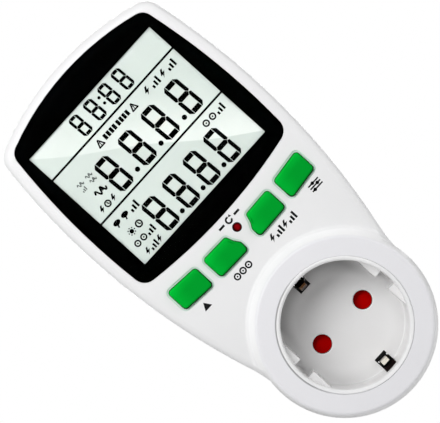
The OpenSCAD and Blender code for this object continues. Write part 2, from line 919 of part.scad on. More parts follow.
module socket_insert() {
    hole_r = pin_hole_d / 2;
    slot_h = z_rim - earth_slot_drop - z_under + eps;
    slot_len = earth_slot_in + cup_wall + eps;
    color("WhiteSmoke") bench() difference() {
        union() {
            rotate_extrude($fn = 96) cup_profile();
            guide_ribs();
            disc(post_r, z_deck - post_end, z_under + join);
        }
        for (side = [-1, 1]) {
            translate([side * pin_x, 0]) {
                disc(hole_r, z_under - eps, z_floor + eps);
                translate([0, 0, z_floor - hole_chamfer]) {
                    cylinder(r1 = hole_r, r2 = hole_r + hole_chamfer + eps, h = hole_chamfer + eps);
                }
            }
            box([earth_slot_w, slot_len, slot_h], [0, side * (cup_r + eps - slot_len / 2), z_under - eps]);
        }
    }
}

module contact_carrier() {
    hole_r = sleeve_r + sleeve_gap;
    color("Gainsboro") bench() difference() {
        union() {
            disc(carrier_r, z_deck - deck_t, z_deck);
            disc(carrier_r, z_inner, z_deck - deck_t + eps);
        }
        difference() {
            disc(carrier_r - carrier_skirt, z_inner - eps, z_deck - deck_t);
            for (side = [-1, 1]) translate([side * pin_x, 0]) disc(hole_r + tower_wall, z_tower, z_deck);
        }
        for (side = [-1, 1]) {
            translate([side * pin_x, 0]) disc(hole_r, z_inner, z_deck + eps);
            box([earth_w + 2 * earth_gap, earth_way, z_deck], [0, side * earth_y, z_inner]);
        }
        disc(post_r + 2 * pivot_gap, z_inner, z_deck + eps);
        translate([-strap_way_w / 2, contact_w, z_inner - eps]) {
            cube([strap_way_w, carrier_r, z_tower - z_inner + eps]);
        }
    }
}

module safety_shutter() {
    blade_r = pin_x + pin_hole_d / 2 + shutter_cover;
    half_angle = shutter_turn / 2;
    corner = 2 * blade_r * [cos(half_angle), sin(half_angle)];
    color("FireBrick") bench() difference() {
        translate([0, 0, z_deck + shutter_air]) linear_extrude(shutter_room - 2 * shutter_air) union() {
            circle(shutter_hub_r);
            for (side = [0, 180]) rotate(side) intersection() {
                circle(blade_r);
                polygon([[0, 0], [corner[0], -corner[1]], corner]);
            }
        }
        disc(post_r + pivot_gap, 0, z_floor);
    }
}

// Split sleeve on a base plate, with a tail that runs up to the power board
module socket_contact(x, base, tail_x, tail_w) {
    difference() {
        union() {
            box([contact_w, contact_w, contact_t], [x, 0, base]);
            translate([x, 0]) disc(sleeve_r, base, z_deck - sleeve_air);
            strap_tail(tail_x, tail_w, base, contact_t);
        }
        translate([x, 0]) disc(sleeve_bore, base + contact_t, z_deck);
        box([sleeve_slit, 2 * sleeve_r + eps, z_deck], [x, 0, base + contact_t + sleeve_root]);
    }
}

module strap_tail(x, w, level, t) {
    translate([x - w / 2, 0, level]) cube([w, tail_end, t]);
    translate([x - w / 2, tail_end - t, level]) cube([w, t, z_power - level]);
}

module live_contact() {
    color("DarkGoldenrod") bench() {
        socket_contact(-pin_x, z_live_base, -pin_x + contact_w / 2 - tail_w / 2, tail_w);
    }
}

module neutral_contact() {
    color("DarkGoldenrod") bench() socket_contact(pin_x, z_strap, pin_x, tail_w);
}

module live_insulator() {
    w = contact_w + 2 * insulator_over;
    color("Ivory") bench() box([w, w, insulator_t], [-pin_x, 0, z_strap + strap_t]);
}

module live_strap() {
    color("DarkGoldenrod") bench() {
        box([contact_w, contact_w, strap_t], [-pin_x, 0, z_strap]);
        strap_tail(-pin_x - contact_w / 2 + tail_w / 2, tail_w, z_strap, strap_t);
    }
}

// The clip in the socket runs up from the strip and bows inwards
function clip_path() = concat(
    [[earth_y, z_deck - join]],
    [for (i = [0 : 12]) let (t = i / 12)
        [earth_y - earth_bulge * sin(earth_bow * t), z_floor + earth_clip_base + earth_rise * t]]
);

function path_normal(path, i) =
    let (d = unit(path[min(i + 1, len(path) - 1)] - path[max(i - 1, 0)])) [d[1], -d[0]];

module ribbon(path, t) {
    polygon(concat(
        [for (i = [0 : len(path) - 1]) path[i] + t / 2 * path_normal(path, i)],
        [for (i = [len(path) - 1 : -1 : 0]) path[i] - t / 2 * path_normal(path, i)]
    ));
}

// Spring strip: wide side contact of the plug, narrow clip in the socket
module earth_strap(side) {
    color("Khaki") bench() mirror([0, side, 0]) {
        box([earth_w, strap_t, z_deck - earth_foot], [0, earth_y, earth_foot]);
        rotate([90, 0, 90]) linear_extrude(clip_w, center = true) ribbon(clip_path(), strap_t);
    }
}

module earth_link() {
    color("Khaki") bench() box([tail_w, 2 * earth_y - strap_t, strap_t], [0, 0, z_tower + link_rise]);
}

module plug_pin(side) {
    color("Silver") bench() translate([side * pin_x, 0]) {
        rotate_extrude() polygon(concat(
            [for (i = [0 : 5]) let (a = 18 * i)
                [pin_d / 2 - pin_tip + pin_tip * sin(a), -pin_len + pin_tip * (1 - cos(a))]],
            [[pin_d / 2, 0], [pin_root_r, 0], [pin_root_r, z_strap], [0, z_strap], [0, -pin_len]]
        ));
    }
}

front_cover();
rear_cover();
display_bezel();
display_lens();
lcd_cell();
lcd_holder();
rubber_strip();
main_board();
meter_chip();
clock_crystal();
backup_battery();
board_header();
power_board();
current_shunt();
dropper_capacitor();
filter_capacitor(0);  // filter_capacitor_1
filter_capacitor(1);  // filter_capacitor_2
surge_varistor();
socket_insert();
contact_carrier();
safety_shutter();
live_contact();
neutral_contact();
live_insulator();
live_strap();
earth_strap(0);  // earth_strap_upper
earth_strap(1);  // earth_strap_lower
earth_link();
plug_pin(-1);  // live_pin
plug_pin(1);  // neutral_pin
outer_key_cap(1);  // up_key
inner_key_cap(1);  // cost_key
inner_key_cap(0);  // energy_key
outer_key_cap(0);  // set_key
reset_cap();  // reset_key
for (i = [0 : len(KEYS) - 1]) {
    key_switch(i);
    key_plunger(i);
}
for (i = [0 : len(screw_at) - 1]) {
    cover_screw(i);
}
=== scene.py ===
"""Looks of a plug-in energy monitor: finishes of its pieces, its display, legends and stage."""

from functools import partial

import bpy
import numpy as np
from bpy.props import FloatProperty, FloatVectorProperty, PointerProperty
from mathutils import Matrix, Vector


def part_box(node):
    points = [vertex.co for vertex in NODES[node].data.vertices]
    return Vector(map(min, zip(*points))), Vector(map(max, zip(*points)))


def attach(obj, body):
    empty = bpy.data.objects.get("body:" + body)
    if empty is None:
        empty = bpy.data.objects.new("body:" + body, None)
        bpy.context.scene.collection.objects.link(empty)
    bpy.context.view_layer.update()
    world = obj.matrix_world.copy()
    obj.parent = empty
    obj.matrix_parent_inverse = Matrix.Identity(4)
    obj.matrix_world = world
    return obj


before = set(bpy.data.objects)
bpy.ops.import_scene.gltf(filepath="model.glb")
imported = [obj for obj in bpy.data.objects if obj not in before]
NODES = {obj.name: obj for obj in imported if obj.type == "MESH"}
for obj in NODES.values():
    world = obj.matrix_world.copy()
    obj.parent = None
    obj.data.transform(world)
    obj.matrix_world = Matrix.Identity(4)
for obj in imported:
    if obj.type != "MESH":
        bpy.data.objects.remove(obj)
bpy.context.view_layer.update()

bl_info = {
    "name": "Energy monitor looks",
    "version": (1, 0, 0),
    "blender": (4, 5, 0),
    "location": "View3D > Sidebar > Monitor",
    "description": "Finishes, display, legends and stage of a plug-in energy monitor",
    "category": "Object",
}

MM = 0.001
KEYS = ("up_key", "cost_key", "energy_key", "set_key", "reset_key")
SCREWS = tuple(f"cover_screw_{i}" for i in range(1, 6))


def number(name, description, default, **settings):
    """A property of one number, or of three if its default has three."""
    kind = FloatVectorProperty if isinstance(default, tuple) else FloatProperty
    return kind(name=name, description=description, default=default, **settings)


colour = partial(number, subtype="COLOR", min=0, max=1)
share = partial(number, subtype="FACTOR", min=0, max=1)
length = partial(number, unit="LENGTH", precision=5)
angle = partial(number, subtype="ANGLE")
power = partial(number, unit="POWER")


class ShellLook(bpy.types.PropertyGroup):
    """Finish of the two covers and the screws."""

    plastic: colour("Cover plastic", "Colour of both covers", (0.875, 0.875, 0.88))
    collar: colour("Collar", "Colour of the flat of the socket's collar", (0.870, 0.866, 0.892))
    # Painted highlight: the paler colour on the upper side of the collar's slope.
    slope: colour("Collar slope", "Colour of the slope round the collar", (0.94, 0.94, 0.945))
    # Painted reflection: the green tinge the keys cast on the steps round them.
    well_reflection: colour("Key wells", "Colour of the steps round the keys", (0.66, 0.81, 0.73))
    gloss: share("Roughness", "Roughness of the moulded covers", 0.34)
    grain: length("Grain", "Size of the moulded grain", 0.00035)
    steel: colour("Screw steel", "Colour of the cover screws", (0.62, 0.63, 0.65))


class DisplayLook(bpy.types.PropertyGroup):
    """Finish of the display and the sizes of what it shows."""

    mask: colour("Mask", "Colour of the printed black border", (0.0006, 0.0006, 0.0007))
    reflector: colour("Reflector", "Colour of the display's reflector", (0.471, 0.514, 0.487))
    # Painted reflection: the colour of the lighter band across the reflector.
    painted_glint: colour("Glint", "Colour of the band across the reflector", (0.608, 0.634, 0.610))
    ink: colour("Segments", "Colour of the dark segments", (0.0008, 0.0009, 0.0009))
    faint_ink: colour("Small signs", "Colour of the smallest signs", (0.09, 0.10, 0.095))
    line: length("Dividing line", "Height of the dividing lines", 0.00070)
    film: length("Film", "Height of the segments above the reflector", 0.00006)
    lean: angle("Lean", "Lean of the digits", -0.0436)


class KeyLook(bpy.types.PropertyGroup):
    """Finish of the keys and of the printed legends."""

    green: colour("Key green", "Colour of the four keys", (0.0005, 0.35, 0.027))
    red: colour("Reset red", "Colour of the reset key", (0.26, 0.001, 0.003))
    print_ink: colour("Print", "Colour of the printed legends", (0.012, 0.012, 0.013))
    print_height: length("Legend height", "Height of the printed legends", 0.0026)


class SocketLook(bpy.types.PropertyGroup):
    """Finish of the socket, its contacts and the plug."""

    cup: colour("Cup plastic", "Colour of the socket cup", (0.828, 0.824, 0.824))
    lip: colour("Cup lip", "Colour of the cup's lip", (0.87, 0.87, 0.875))
    # Painted highlight: the paler colour of the lip's upper part.
    lip_top_highlight: colour("Top of the lip", "Colour of the lip's upper part", (0.985, 0.985, 0.985))
    # Painted highlight: the pale rings round the pin holes.
    hole_highlight: colour("Worn rings", "Colour of the rings round the pin holes", (0.93, 0.93, 0.93))
    # Painted shade: the dark colour of the walls inside the pin holes and slots.
    hollow_shade: colour("Hollows", "Colour inside the pin holes and slots", (0.02, 0.006, 0.006))
    shutter: colour("Shutter red", "Colour of the safety shutter", (0.66, 0.0006, 0.0006))
    brass: colour("Brass", "Colour of the live and neutral contacts", (0.78, 0.56, 0.25))
    # Painted highlight in part: the pale colour of the lower strap, a lit copy of the strap metal.
    earth: colour("Earth metal", "Colour of the lower earth strap", (0.98, 0.93, 0.82))
    # Painted shade: the dark colour of the upper strap, a shaded copy of the same metal.
    earth_shaded: colour("Dull metal", "Colour of the upper earth strap", (0.09, 0.04, 0.015))
    plated: colour("Plated metal", "Colour of the earth straps by the plug", (0.80, 0.77, 0.70))
    nickel: colour("Nickel", "Colour of the plug pins", (0.72, 0.70, 0.66))


class BoardLook(bpy.types.PropertyGroup):
    """Finish of what the covers hide."""

    solder_mask: colour("Solder mask", "Colour of the circuit boards", (0.012, 0.105, 0.035))
    copper: colour("Tracks", "Colour of the covered copper tracks", (0.05, 0.23, 0.07))


class StageLook(bpy.types.PropertyGroup):
    """Camera, light and floor."""

    aim: length("Aim", "Point in the middle of the picture", (0.00004, -0.055, 0.0524))
    eye: length("Eye", "Place of the camera", (0.00712, -0.735, 0.0504))
    roll: angle("Roll", "Turn of the picture", -0.8353)
    lens: number("Lens", "Focal length in mm on a 36 mm sensor", 178.5, min=10)
    ambient: share("Ambient", "Light that comes evenly from all round", 0.09)
    key_power: power("Key light", "Power of the soft light from above", 2.69)
    right_power: power("Right light", "Power of the soft light on the right", 1.05)
    left_power: power("Left light", "Power of the soft light on the left", 0.45)
    back_power: power("Back light", "Power of the soft light behind", 3.2)
    floor_drop: length("Floor", "Height of the floor", -0.27)
    floor_size: length("Floor size", "Half the side of the floor", 0.8)
    floor_colour: colour("Floor colour", "Colour of the floor", (0.9, 0.9, 0.9))
    floor_glow: colour("Floor glow", "Light that the camera sees on the floor", (0.62, 0.62, 0.62))


class Wiring:
    """Adds nodes to one tree. An input's value is set there, or linked if it is an output."""

    def __init__(self, tree):
        self.tree = tree

    def add(self, kind, inputs=None, **settings):
        """A new node with its settings and inputs. A kind without Node in it is a shader node."""
        node = self.tree.nodes.new(kind if "Node" in kind else "ShaderNode" + kind)
        for name, value in settings.items():
            setattr(node, name, value)
        for key, value in (inputs or {}).items():
            self.plug(node.inputs[key], value)
        return node

    def plug(self, socket, value):
        """Links an output to a socket, or sets the socket to a value."""
        if isinstance(value, bpy.types.NodeSocket):
            self.tree.links.new(value, socket)
        else:
            socket.default_value = value

    def maths(self, operation, a, b=0.0, clamp=False):
        """One operation on two numbers."""
        return self.add("Math", {0: a, 1: b}, operation=operation, use_clamp=clamp).outputs[0]

    def product(self, first, *others):
        """Numbers multiplied in turn."""
        for other in others:
            first = self.maths("MULTIPLY", first, other)
        return first

    def ramp(self, value, low, high, to_low=0.0, to_high=1.0, kind="SMOOTHSTEP"):
        """A number carried from the range low to high to another range, and held at its ends."""
        inputs = {
            "Value": value, "From Min": low, "From Max": high, "To Min": to_low, "To Max": to_high
        }
        return self.add("MapRange", inputs, interpolation_type=kind).outputs[0]

    def inside(self, value, low, high, soft=0.0001):
        """1 where a number is from low to high, falling to 0 over the soft length on both sides."""
        half = (high - low) / 2
        off = self.maths("ABSOLUTE", self.maths("SUBTRACT", value, (low + high) / 2))
        return self.ramp(off, half, half + soft, 1.0, 0.0)

    def mix(self, factor, a, b):
        """Colour a where the factor is 0 and b where it is 1."""
        return self.add("Mix", {0: factor, 6: a, 7: b}, data_type="RGBA").outputs[2]

    def noise(self, vector, scale, detail=2.0, roughness=0.5):
        """Noise from 0 to 1."""
        inputs = {"Vector": vector, "Scale": scale, "Detail": detail, "Roughness": roughness}
        return self.add("TexNoise", inputs).outputs[0]

    def object_place(self):
        """The place on the object, in its own frame."""
        return self.add("TexCoord").outputs["Object"]

    def axes(self, vector):
        """The X, Y and Z of a vector."""
        return self.add("SeparateXYZ", {0: vector}).outputs

    def stretched(self, vector, scale):
        """A vector or colour multiplied part by part."""
        return self.add("VectorMath", {0: vector, 1: scale}, operation="MULTIPLY").outputs[0]

    def dot(self, vector, direction):
        """How far a vector reaches along a direction."""
        inputs = {0: vector, 1: direction}
        return self.add("VectorMath", inputs, operation="DOT_PRODUCT").outputs["Value"]

    def length(self, vector):
        """The length of a vector."""
        return self.add("VectorMath", {0: vector}, operation="LENGTH").outputs["Value"]

    def off_axis(self, vector):
        """Distance from the Y axis: for a place, the axis of socket and plug."""
        return self.length(self.stretched(vector, (1.0, 0.0, 1.0)))


def rgba(tint):
    """A colour with full alpha."""
    return (*tint, 1.0)


def new_group(name, inputs, outputs, tree="ShaderNodeTree"):
    """A node group with sockets: inputs are name, kind and default if any, outputs name and kind."""
    group = bpy.data.node_groups.new(name, tree)
    for label, kind, *default in inputs:
        socket = group.interface.new_socket(label, in_out="INPUT", socket_type="NodeSocket" + kind)
        if default:
            socket.default_value = default[0]
    for label, kind in outputs:
        group.interface.new_socket(label, in_out="OUTPUT", socket_type="NodeSocket" + kind)
    w = Wiring(group)
    return group, w, w.add("NodeGroupInput").outputs, w.add("NodeGroupOutput").inputs


def kept_group(name, make):
    """The node group of a name, made if there is none yet."""
    return bpy.data.node_groups.get(name) or make(name)


SURFACE = [("Colour", "Color"), ("Roughness", "Float")]
HEIGHT = [("Height", "Float")]
PATCH_SCALE = 55.0     # noise scale of the broad patches in plastic, per metre
PATCH_GLOSS = 0.16     # share of those patches in the roughness
DULL_SCALE = 420.0     # noise scale of dulled patches in metal, per metre
DULL_TINT = (0.30, 0.25, 0.18, 1)
DULL_GLOSS = 0.4       # share of the dulling in the roughness
STREAK_GLOSS = 0.22    # share of the drawing streaks in the roughness
BUMP_DEPTH = 0.00005   # height in metres that a surface group's height of 1 stands for


def moulded_grain(name):
    """Group for moulded plastic: colour and gloss drift in patches, fine noise is the height."""
    inputs = SURFACE + [("Grain Scale", "Float"), ("Drift", "Float")]
    group, w, take, give = new_group(name, inputs, SURFACE + HEIGHT)
    place = w.object_place()
    broad = w.maths("SUBTRACT", w.noise(place, PATCH_SCALE, 3.0), 0.5)
    fine = w.noise(place, take["Grain Scale"], 2.0, 0.6)
    shade = w.maths("ADD", 1.0, w.product(broad, take["Drift"]))
    speck = w.maths("ADD", shade, w.product(w.maths("SUBTRACT", fine, 0.5), take["Drift"]))
    rough = w.maths("ADD", take["Roughness"], w.product(broad, PATCH_GLOSS), clamp=True)
    w.plug(give["Colour"], w.stretched(take["Colour"], speck))
    w.plug(give["Roughness"], rough)
    w.plug(give["Height"], fine)
    return group


def drawn_metal(name):
    """Group for sheet and turned metal: noise stretched along the way it was drawn gives streaks in
    gloss and height, and broad noise darkens the colour where the metal has dulled."""
    inputs = SURFACE + [("Stretch", "Vector"), ("Dulling", "Float")]
    group, w, take, give = new_group(name, inputs, SURFACE + HEIGHT)
    place = w.object_place()
    streak = w.noise(w.stretched(place, take["Stretch"]), 1.0, 3.0)
    dull = w.product(w.ramp(w.noise(place, DULL_SCALE, 4.0, 0.62), 0.42, 0.72), take["Dulling"])
    streaks = w.product(w.maths("SUBTRACT", streak, 0.5), STREAK_GLOSS)
    rough = w.maths("ADD", take["Roughness"], streaks)
    rough = w.maths("ADD", rough, w.product(dull, DULL_GLOSS), clamp=True)
    w.plug(give["Colour"], w.mix(dull, take["Colour"], DULL_TINT))
    w.plug(give["Roughness"], rough)
    w.plug(give["Height"], streak)
    return group


def new_material(name, **sockets):
    """A material of one Principled shader with plain values, with its wiring and the shader."""
    material = bpy.data.materials.new(name)
    material.use_nodes = True
    shader = material.node_tree.nodes["Principled BSDF"]
    for label, value in sockets.items():
        shader.inputs[label.replace("_", " ")].default_value = value
    return material, Wiring(material.node_tree), shader


def place_group(w, shader, group, values, bump):
    """Puts a surface group in a material and wires its colour, gloss and height to the shader."""
    surface = w.add("Group", node_tree=group)
    for label, value in values.items():
        w.plug(surface.inputs[label], value)
    height = {"Strength": bump, "Distance": BUMP_DEPTH, "Height": surface.outputs["Height"]}
    w.plug(shader.inputs["Base Color"], surface.outputs["Colour"])
    w.plug(shader.inputs["Roughness"], surface.outputs["Roughness"])
    w.plug(shader.inputs["Normal"], w.add("Bump", height).outputs[0])


def mould(w, shader, tint, roughness, grain, drift, bump):
    """Wires moulded plastic of a tint to a shader."""
    values = {"Colour": tint, "Roughness": roughness, "Grain Scale": 1 / grain, "Drift": drift}
    place_group(w, shader, kept_group("Moulded grain", moulded_grain), values, bump)


def draw_out(w, shader, tint, roughness, stretch, bump=0.12, dulling=0.35):
    """Wires metal of a tint, drawn along the axis where stretch is small, to a shader."""
    values = {"Colour": tint, "Roughness": roughness, "Stretch": stretch, "Dulling": dulling}
    place_group(w, shader, kept_group("Drawn metal", drawn_metal), values, bump)


def plastic(name, tint, roughness=0.4, grain=0.0003, drift=0.03, bump=0.25, specular=0.5):
    """Moulded plastic of one tint."""
    material, w, shader = new_material(name, Specular_IOR_Level=specular)
    mould(w, shader, rgba(tint), roughness, grain, drift, bump)
    return material


def metal(name, tint, roughness=0.3, stretch=(4000.0, 200.0, 4000.0), **extent):
    """Bare or plated metal of one tint."""
    material, w, shader = new_material(name, Metallic=1.0)
    draw_out(w, shader, rgba(tint), roughness, stretch, **extent)
    return material


WELD_GAP = 2e-6        # distance in metres below which points of a solid are one
FLAT_LIMIT = 0.004     # angle in radians below which faces are one flat face
BEVEL_LIMIT = 0.7      # angle in radians above which an edge is rounded
SHARP_LIMIT = 0.61     # angle in radians above which an edge is shaded sharp


def soft_edges(name):
    """Geometry group that shades faces smooth and keeps edges sharper than the limit sharp."""
    inputs = [("Geometry", "Geometry"), ("Limit", "Float", SHARP_LIMIT)]
    group, w, take, give = new_group(name, inputs, inputs[:1], "GeometryNodeTree")
    plain = w.add("GeometryNodeRemoveAttribute", {0: take["Geometry"], "Name": "custom_normal"})
    smooth = w.add("GeometryNodeSetShadeSmooth", {0: plain.outputs[0]})
    bend = w.add("GeometryNodeInputMeshEdgeAngle").outputs["Unsigned Angle"]
    wide = w.add("FunctionNodeCompare", {0: bend, 1: take["Limit"]}, operation="GREATER_THAN")
    edges = {0: smooth.outputs[0], "Selection": wide.outputs[0], "Shade Smooth": False}
    crease = w.add("GeometryNodeSetShadeSmooth", edges, domain="EDGE")
    w.plug(give["Geometry"], crease.outputs[0])
    return group


def dress(names, material, bevel=0.0):
    """Gives CAD nodes a material, joins their triangles, bevels sharp edges and shades smooth."""
    smoothing = kept_group("Soft edges", soft_edges)
    for name in names:
        node = NODES[name]
        node.material_slots[0].material = material
        node.modifiers.new("Join", "WELD").merge_threshold = WELD_GAP
        if bevel:
            flat = node.modifiers.new("Flat faces", "DECIMATE")
            flat.decimate_type = "DISSOLVE"
            flat.angle_limit = FLAT_LIMIT
            edge = node.modifiers.new("Edge", "BEVEL")
            edge.width = bevel
            edge.segments = 2
            edge.limit_method = "ANGLE"
            edge.angle_limit = BEVEL_LIMIT
        node.modifiers.new("Soft edges", "NODES").node_group = smoothing
        node.modifiers.new("Even normals", "WEIGHTED_NORMAL").keep_sharp = True


def place_mesh(name, points, faces, material, slot, body="housing"):
    """Makes a piece from its points and faces and lets it ride on a body."""
    mesh = bpy.data.meshes.new(name)
    mesh.from_pydata(points, [], faces)
    mesh.validate()
    piece = bpy.data.objects.new(name, mesh)
    bpy.context.collection.objects.link(piece)
    mesh.materials.append(material)
    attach(piece, body)


def turned_left(outline):
    """The outline, anticlockwise: twice its area is the sum of its neighbours' cross products."""
    x, z = outline.T
    area = np.sum(x * np.roll(z, -1) - z * np.roll(x, -1))
    return outline if area > 0 else outline[::-1]


def inlay(outlines, back, front):
    """Points and faces of flat prisms: each outline (x, z) runs from y back to y front (mm)."""
    points, faces, start = [], [], 0
    for outline in outlines:
        ring = turned_left(np.asarray(outline, float))
        n = len(ring)
        depth = np.repeat([front, back], n)
        points.append(np.column_stack([np.tile(ring[:, 0], 2), depth, np.tile(ring[:, 1], 2)]) * MM)
        i = np.arange(n)
        j = np.roll(i, -1)
        faces.append((start + i).tolist())
        faces.append((start + n + i[::-1]).tolist())
        faces.extend((start + np.column_stack([i + n, j + n, j, i])).tolist())
        start += 2 * n
    return np.concatenate(points), faces


def box_outline(x, z, w, h):
    """Rectangle about its centre."""
    return np.array([x, z]) + np.array([[-w, -h], [w, -h], [w, h], [-w, h]]) / 2


def disc_outline(x, z, r, n=28):
    """Circle: centre + r (cos a, sin a)."""
    a = np.linspace(0, 2 * np.pi, n, endpoint=False)
    return np.column_stack([x + r * np.cos(a), z + r * np.sin(a)])


def ring_outline(x, z, r, w, start=0.0, turn=359.9, n=40):
    """Band of width w along an arc of radius r: out on its outer side, back on its inner one."""
    a = np.radians(start + np.linspace(0, turn, n))
    side = np.column_stack([np.cos(a), np.sin(a)])
    return np.array([x, z]) + np.concatenate([side * (r + w / 2), side[::-1] * (r - w / 2)])


def stroke_outline(path, w):
    """Line of width w along a path: the path moved to both sides along its normal."""
    path = np.asarray(path, float)
    along = np.gradient(path, axis=0)
    along /= np.linalg.norm(along, axis=1)[:, None]
    side = np.column_stack([-along[:, 1], along[:, 0]]) * w / 2
    return np.concatenate([path + side, (path - side)[::-1]])


def digit_eight(x, base, w, h, upright, flat, gap, lean):
    """Seven segments of the figure 8. The uprights run to the ends of the figure, with chamfered
    outer corners, and the flat bars stand between them, a gap apart. The whole is sheared by the
    lean about mid height."""
    chamfer, g, m = 0.85 * upright, gap / 2, h / 2
    flip_x, flip_z = np.array([-1, 1]), np.array([1, -1])
    right, up = np.array([w, 0]), np.array([0, h])
    end = np.array([[upright + gap, h - flat], [upright + gap, h]])
    top = np.concatenate([end, (end * flip_x + right)[::-1]])
    waist = [[upright, m + flat / 2 + g], [upright / 2, m + g], [0, m + g + 0.25 * upright]]
    side = np.concatenate([[[0, h - chamfer], [chamfer, h], [upright, h]], waist])
    tip = np.array([
        [upright + g, m - flat / 2], [upright / 2 + g, m], [upright + g, m + flat / 2]
    ])
    bar = np.concatenate([tip, (tip * flip_x + right)[::-1]])
    parts = [top, top * flip_z + up, bar]
    parts += [side, side * flip_x + right]
    parts += [side * flip_z + up, side * flip_x * flip_z + right + up]
    left, slant = x - w / 2, np.tan(lean)
    return [
        np.column_stack([left + p[:, 0] - slant * (m - p[:, 1]), base + p[:, 1]]) for p in parts
    ]


# Small generic signs, drawn in a box of height 1 from x = 0. Each gives its outlines and its width.

def sign_bolt():
    """A lightning bolt as one zigzag outline."""
    upper = [[0.44, 1], [0, 0.38], [0.3, 0.38], [0.14, 0]]
    lower = [[0.78, 0.62], [0.46, 0.62], [0.72, 1]]
    return [np.array(upper + lower)], 0.78


def sign_bars():
    """Three rising bars."""
    heights = np.array([0.4, 0.7, 1.0])
    return [box_outline(0.14 + 0.46 * i, h / 2, 0.28, h) for i, h in enumerate(heights)], 1.2


def sign_coin():
    """A ring round a dot."""
    return [ring_outline(0.46, 0.5, 0.36, 0.2), disc_outline(0.46, 0.5, 0.11, 12)], 0.92


def sign_wave():
    """Two periods of a sine."""
    x = np.linspace(0, 1.7, 40)
    z = 0.5 + 0.4 * np.sin(x / 1.7 * 4 * np.pi)
    return [stroke_outline(np.column_stack([x, z]), 0.22)], 1.7


def sign_warning():
    """A triangle of three strokes round a bar and a dot."""
    top = [0.55, 0.93]
    ends = (([0.07, 0.07], [1.03, 0.07]), ([0.98, 0.02], top), (top, [0.12, 0.02]))
    legs = [stroke_outline(np.linspace(a, b, 3), 0.18) for a, b in ends]
    return legs + [box_outline(0.55, 0.48, 0.12, 0.3), disc_outline(0.55, 0.22, 0.075, 12)], 1.1


def sign_blocks():
    """Four blocks in a row."""
    return [box_outline(0.2 + 0.52 * i, 0.5, 0.4, 0.72) for i in range(4)], 1.96


def sign_triangle():
    """A triangle that points up."""
    return [np.array([[0, 0.06], [1.16, 0.06], [0.58, 1.0]])], 1.16


def sign_sliders():
    """Three lines with a knob on each."""
    levels, knobs = (0.12, 0.5, 0.88), (0.42, 1.2, 0.72)
    lines = [box_outline(0.85, z, 1.7, 0.18) for z in levels]
    return lines + [disc_outline(x, z, 0.22, 16) for x, z in zip(knobs, levels)], 1.7


def sign_again():
    """An arc with an arrow head."""
    head = np.array([[0.72, 0.78], [1.12, 0.66], [0.98, 1.06]])
    return [ring_outline(0.5, 0.5, 0.38, 0.24, 65, 285), head], 1.1


def sign_leaf():
    """A blade between two half sines, with a stalk."""
    a = np.linspace(0, np.pi, 18)
    blade = np.column_stack([0.5 - 0.5 * np.cos(a), 0.62 + 0.30 * np.sin(a)])
    under = np.column_stack([0.5 + 0.5 * np.cos(a[1:-1]), 0.62 - 0.34 * np.sin(a[1:-1])])
    stalk = stroke_outline([[0.28, 0.0], [0.36, 0.18], [0.46, 0.4]], 0.18)
    return [np.concatenate([blade, under]), stalk], 1.0


def sign_sun():
    """A disc with eight rays."""
    reach = [0.38, 0.44, 0.52]
    ways = [[np.cos(a), np.sin(a)] for a in np.radians(np.arange(0, 360, 45))]
    rays = [stroke_outline(0.5 + np.outer(reach, way), 0.16) for way in ways]
    return [disc_outline(0.5, 0.5, 0.28, 20)] + rays, 1.0


def sign_clock():
    """A ring with two hands."""
    halfway = ([0.5, 0.63], [0.6, 0.42])
    hands = [stroke_outline([[0.5, 0.5], p, 2 * np.array(p) - 0.5], 0.16) for p in halfway]
    return [ring_outline(0.5, 0.5, 0.4, 0.2), *hands], 1.0


def sign_dash():
    """A short bar."""
    return [box_outline(0.45, 0.5, 0.9, 0.3)], 0.9


def sign_row(signs, x, z, height, width):
    """Signs side by side about x, standing on z, with even gaps that fill the width (mm)."""
    drawn = [sign() for sign in signs]
    taken = sum(w for _, w in drawn) * height
    gap = (width - taken) / max(len(drawn) - 1, 1)
    at = x - width / 2 if len(drawn) > 1 else x - taken / 2
    outlines = []
    for parts, w in drawn:
        outlines += [np.asarray(p) * height + [at, z] for p in parts]
        at += w * height + gap
    return outlines


# Where the covers' finish changes, from and to, in metres: the painted highlight on the collar's
# slope, the collar's flat, the painted green reflection in the key wells and the painted shade in
# the seam.
# X and Z are measured from the socket's axis, R is the distance from it, and Y runs back along it,
# from -0.059 at the rim and -0.055 at the face.
SLOPE_HIGHLIGHT_Y, SLOPE_HIGHLIGHT_Z = (-0.0560, -0.0553), (-0.018, 0.006)
COLLAR_Y, COLLAR_R = (-0.0585, -0.0575), (0.0276, 0.0284)
WELL_X, WELL_Y, WELL_Z = (0.0018, 0.0313), (-0.0548, -0.0530), (0.0361, 0.0493)
SEAM_R, SEAM_SOFT = (0.02145, 0.02165), 0.0003
# Painted shade in the seam: its side, its reach and how dark it gets.
SEAM_SIDE, SEAM_REACH, SEAM_SHADE = (-0.85, 0.0, 0.5), (0.008, 0.018), 0.45


def seam_shade(w, tint, place):
    """A tint darkened by painted shade in the seam between collar and lip: near the lip's radius,
    most on the upper left."""
    near = w.inside(w.off_axis(place), *SEAM_R, SEAM_SOFT)
    seam_shade_share = w.product(near, w.ramp(w.dot(place, SEAM_SIDE), *SEAM_REACH, 0.0, SEAM_SHADE))
    return w.stretched(tint, w.maths("SUBTRACT", 1.0, seam_shade_share))


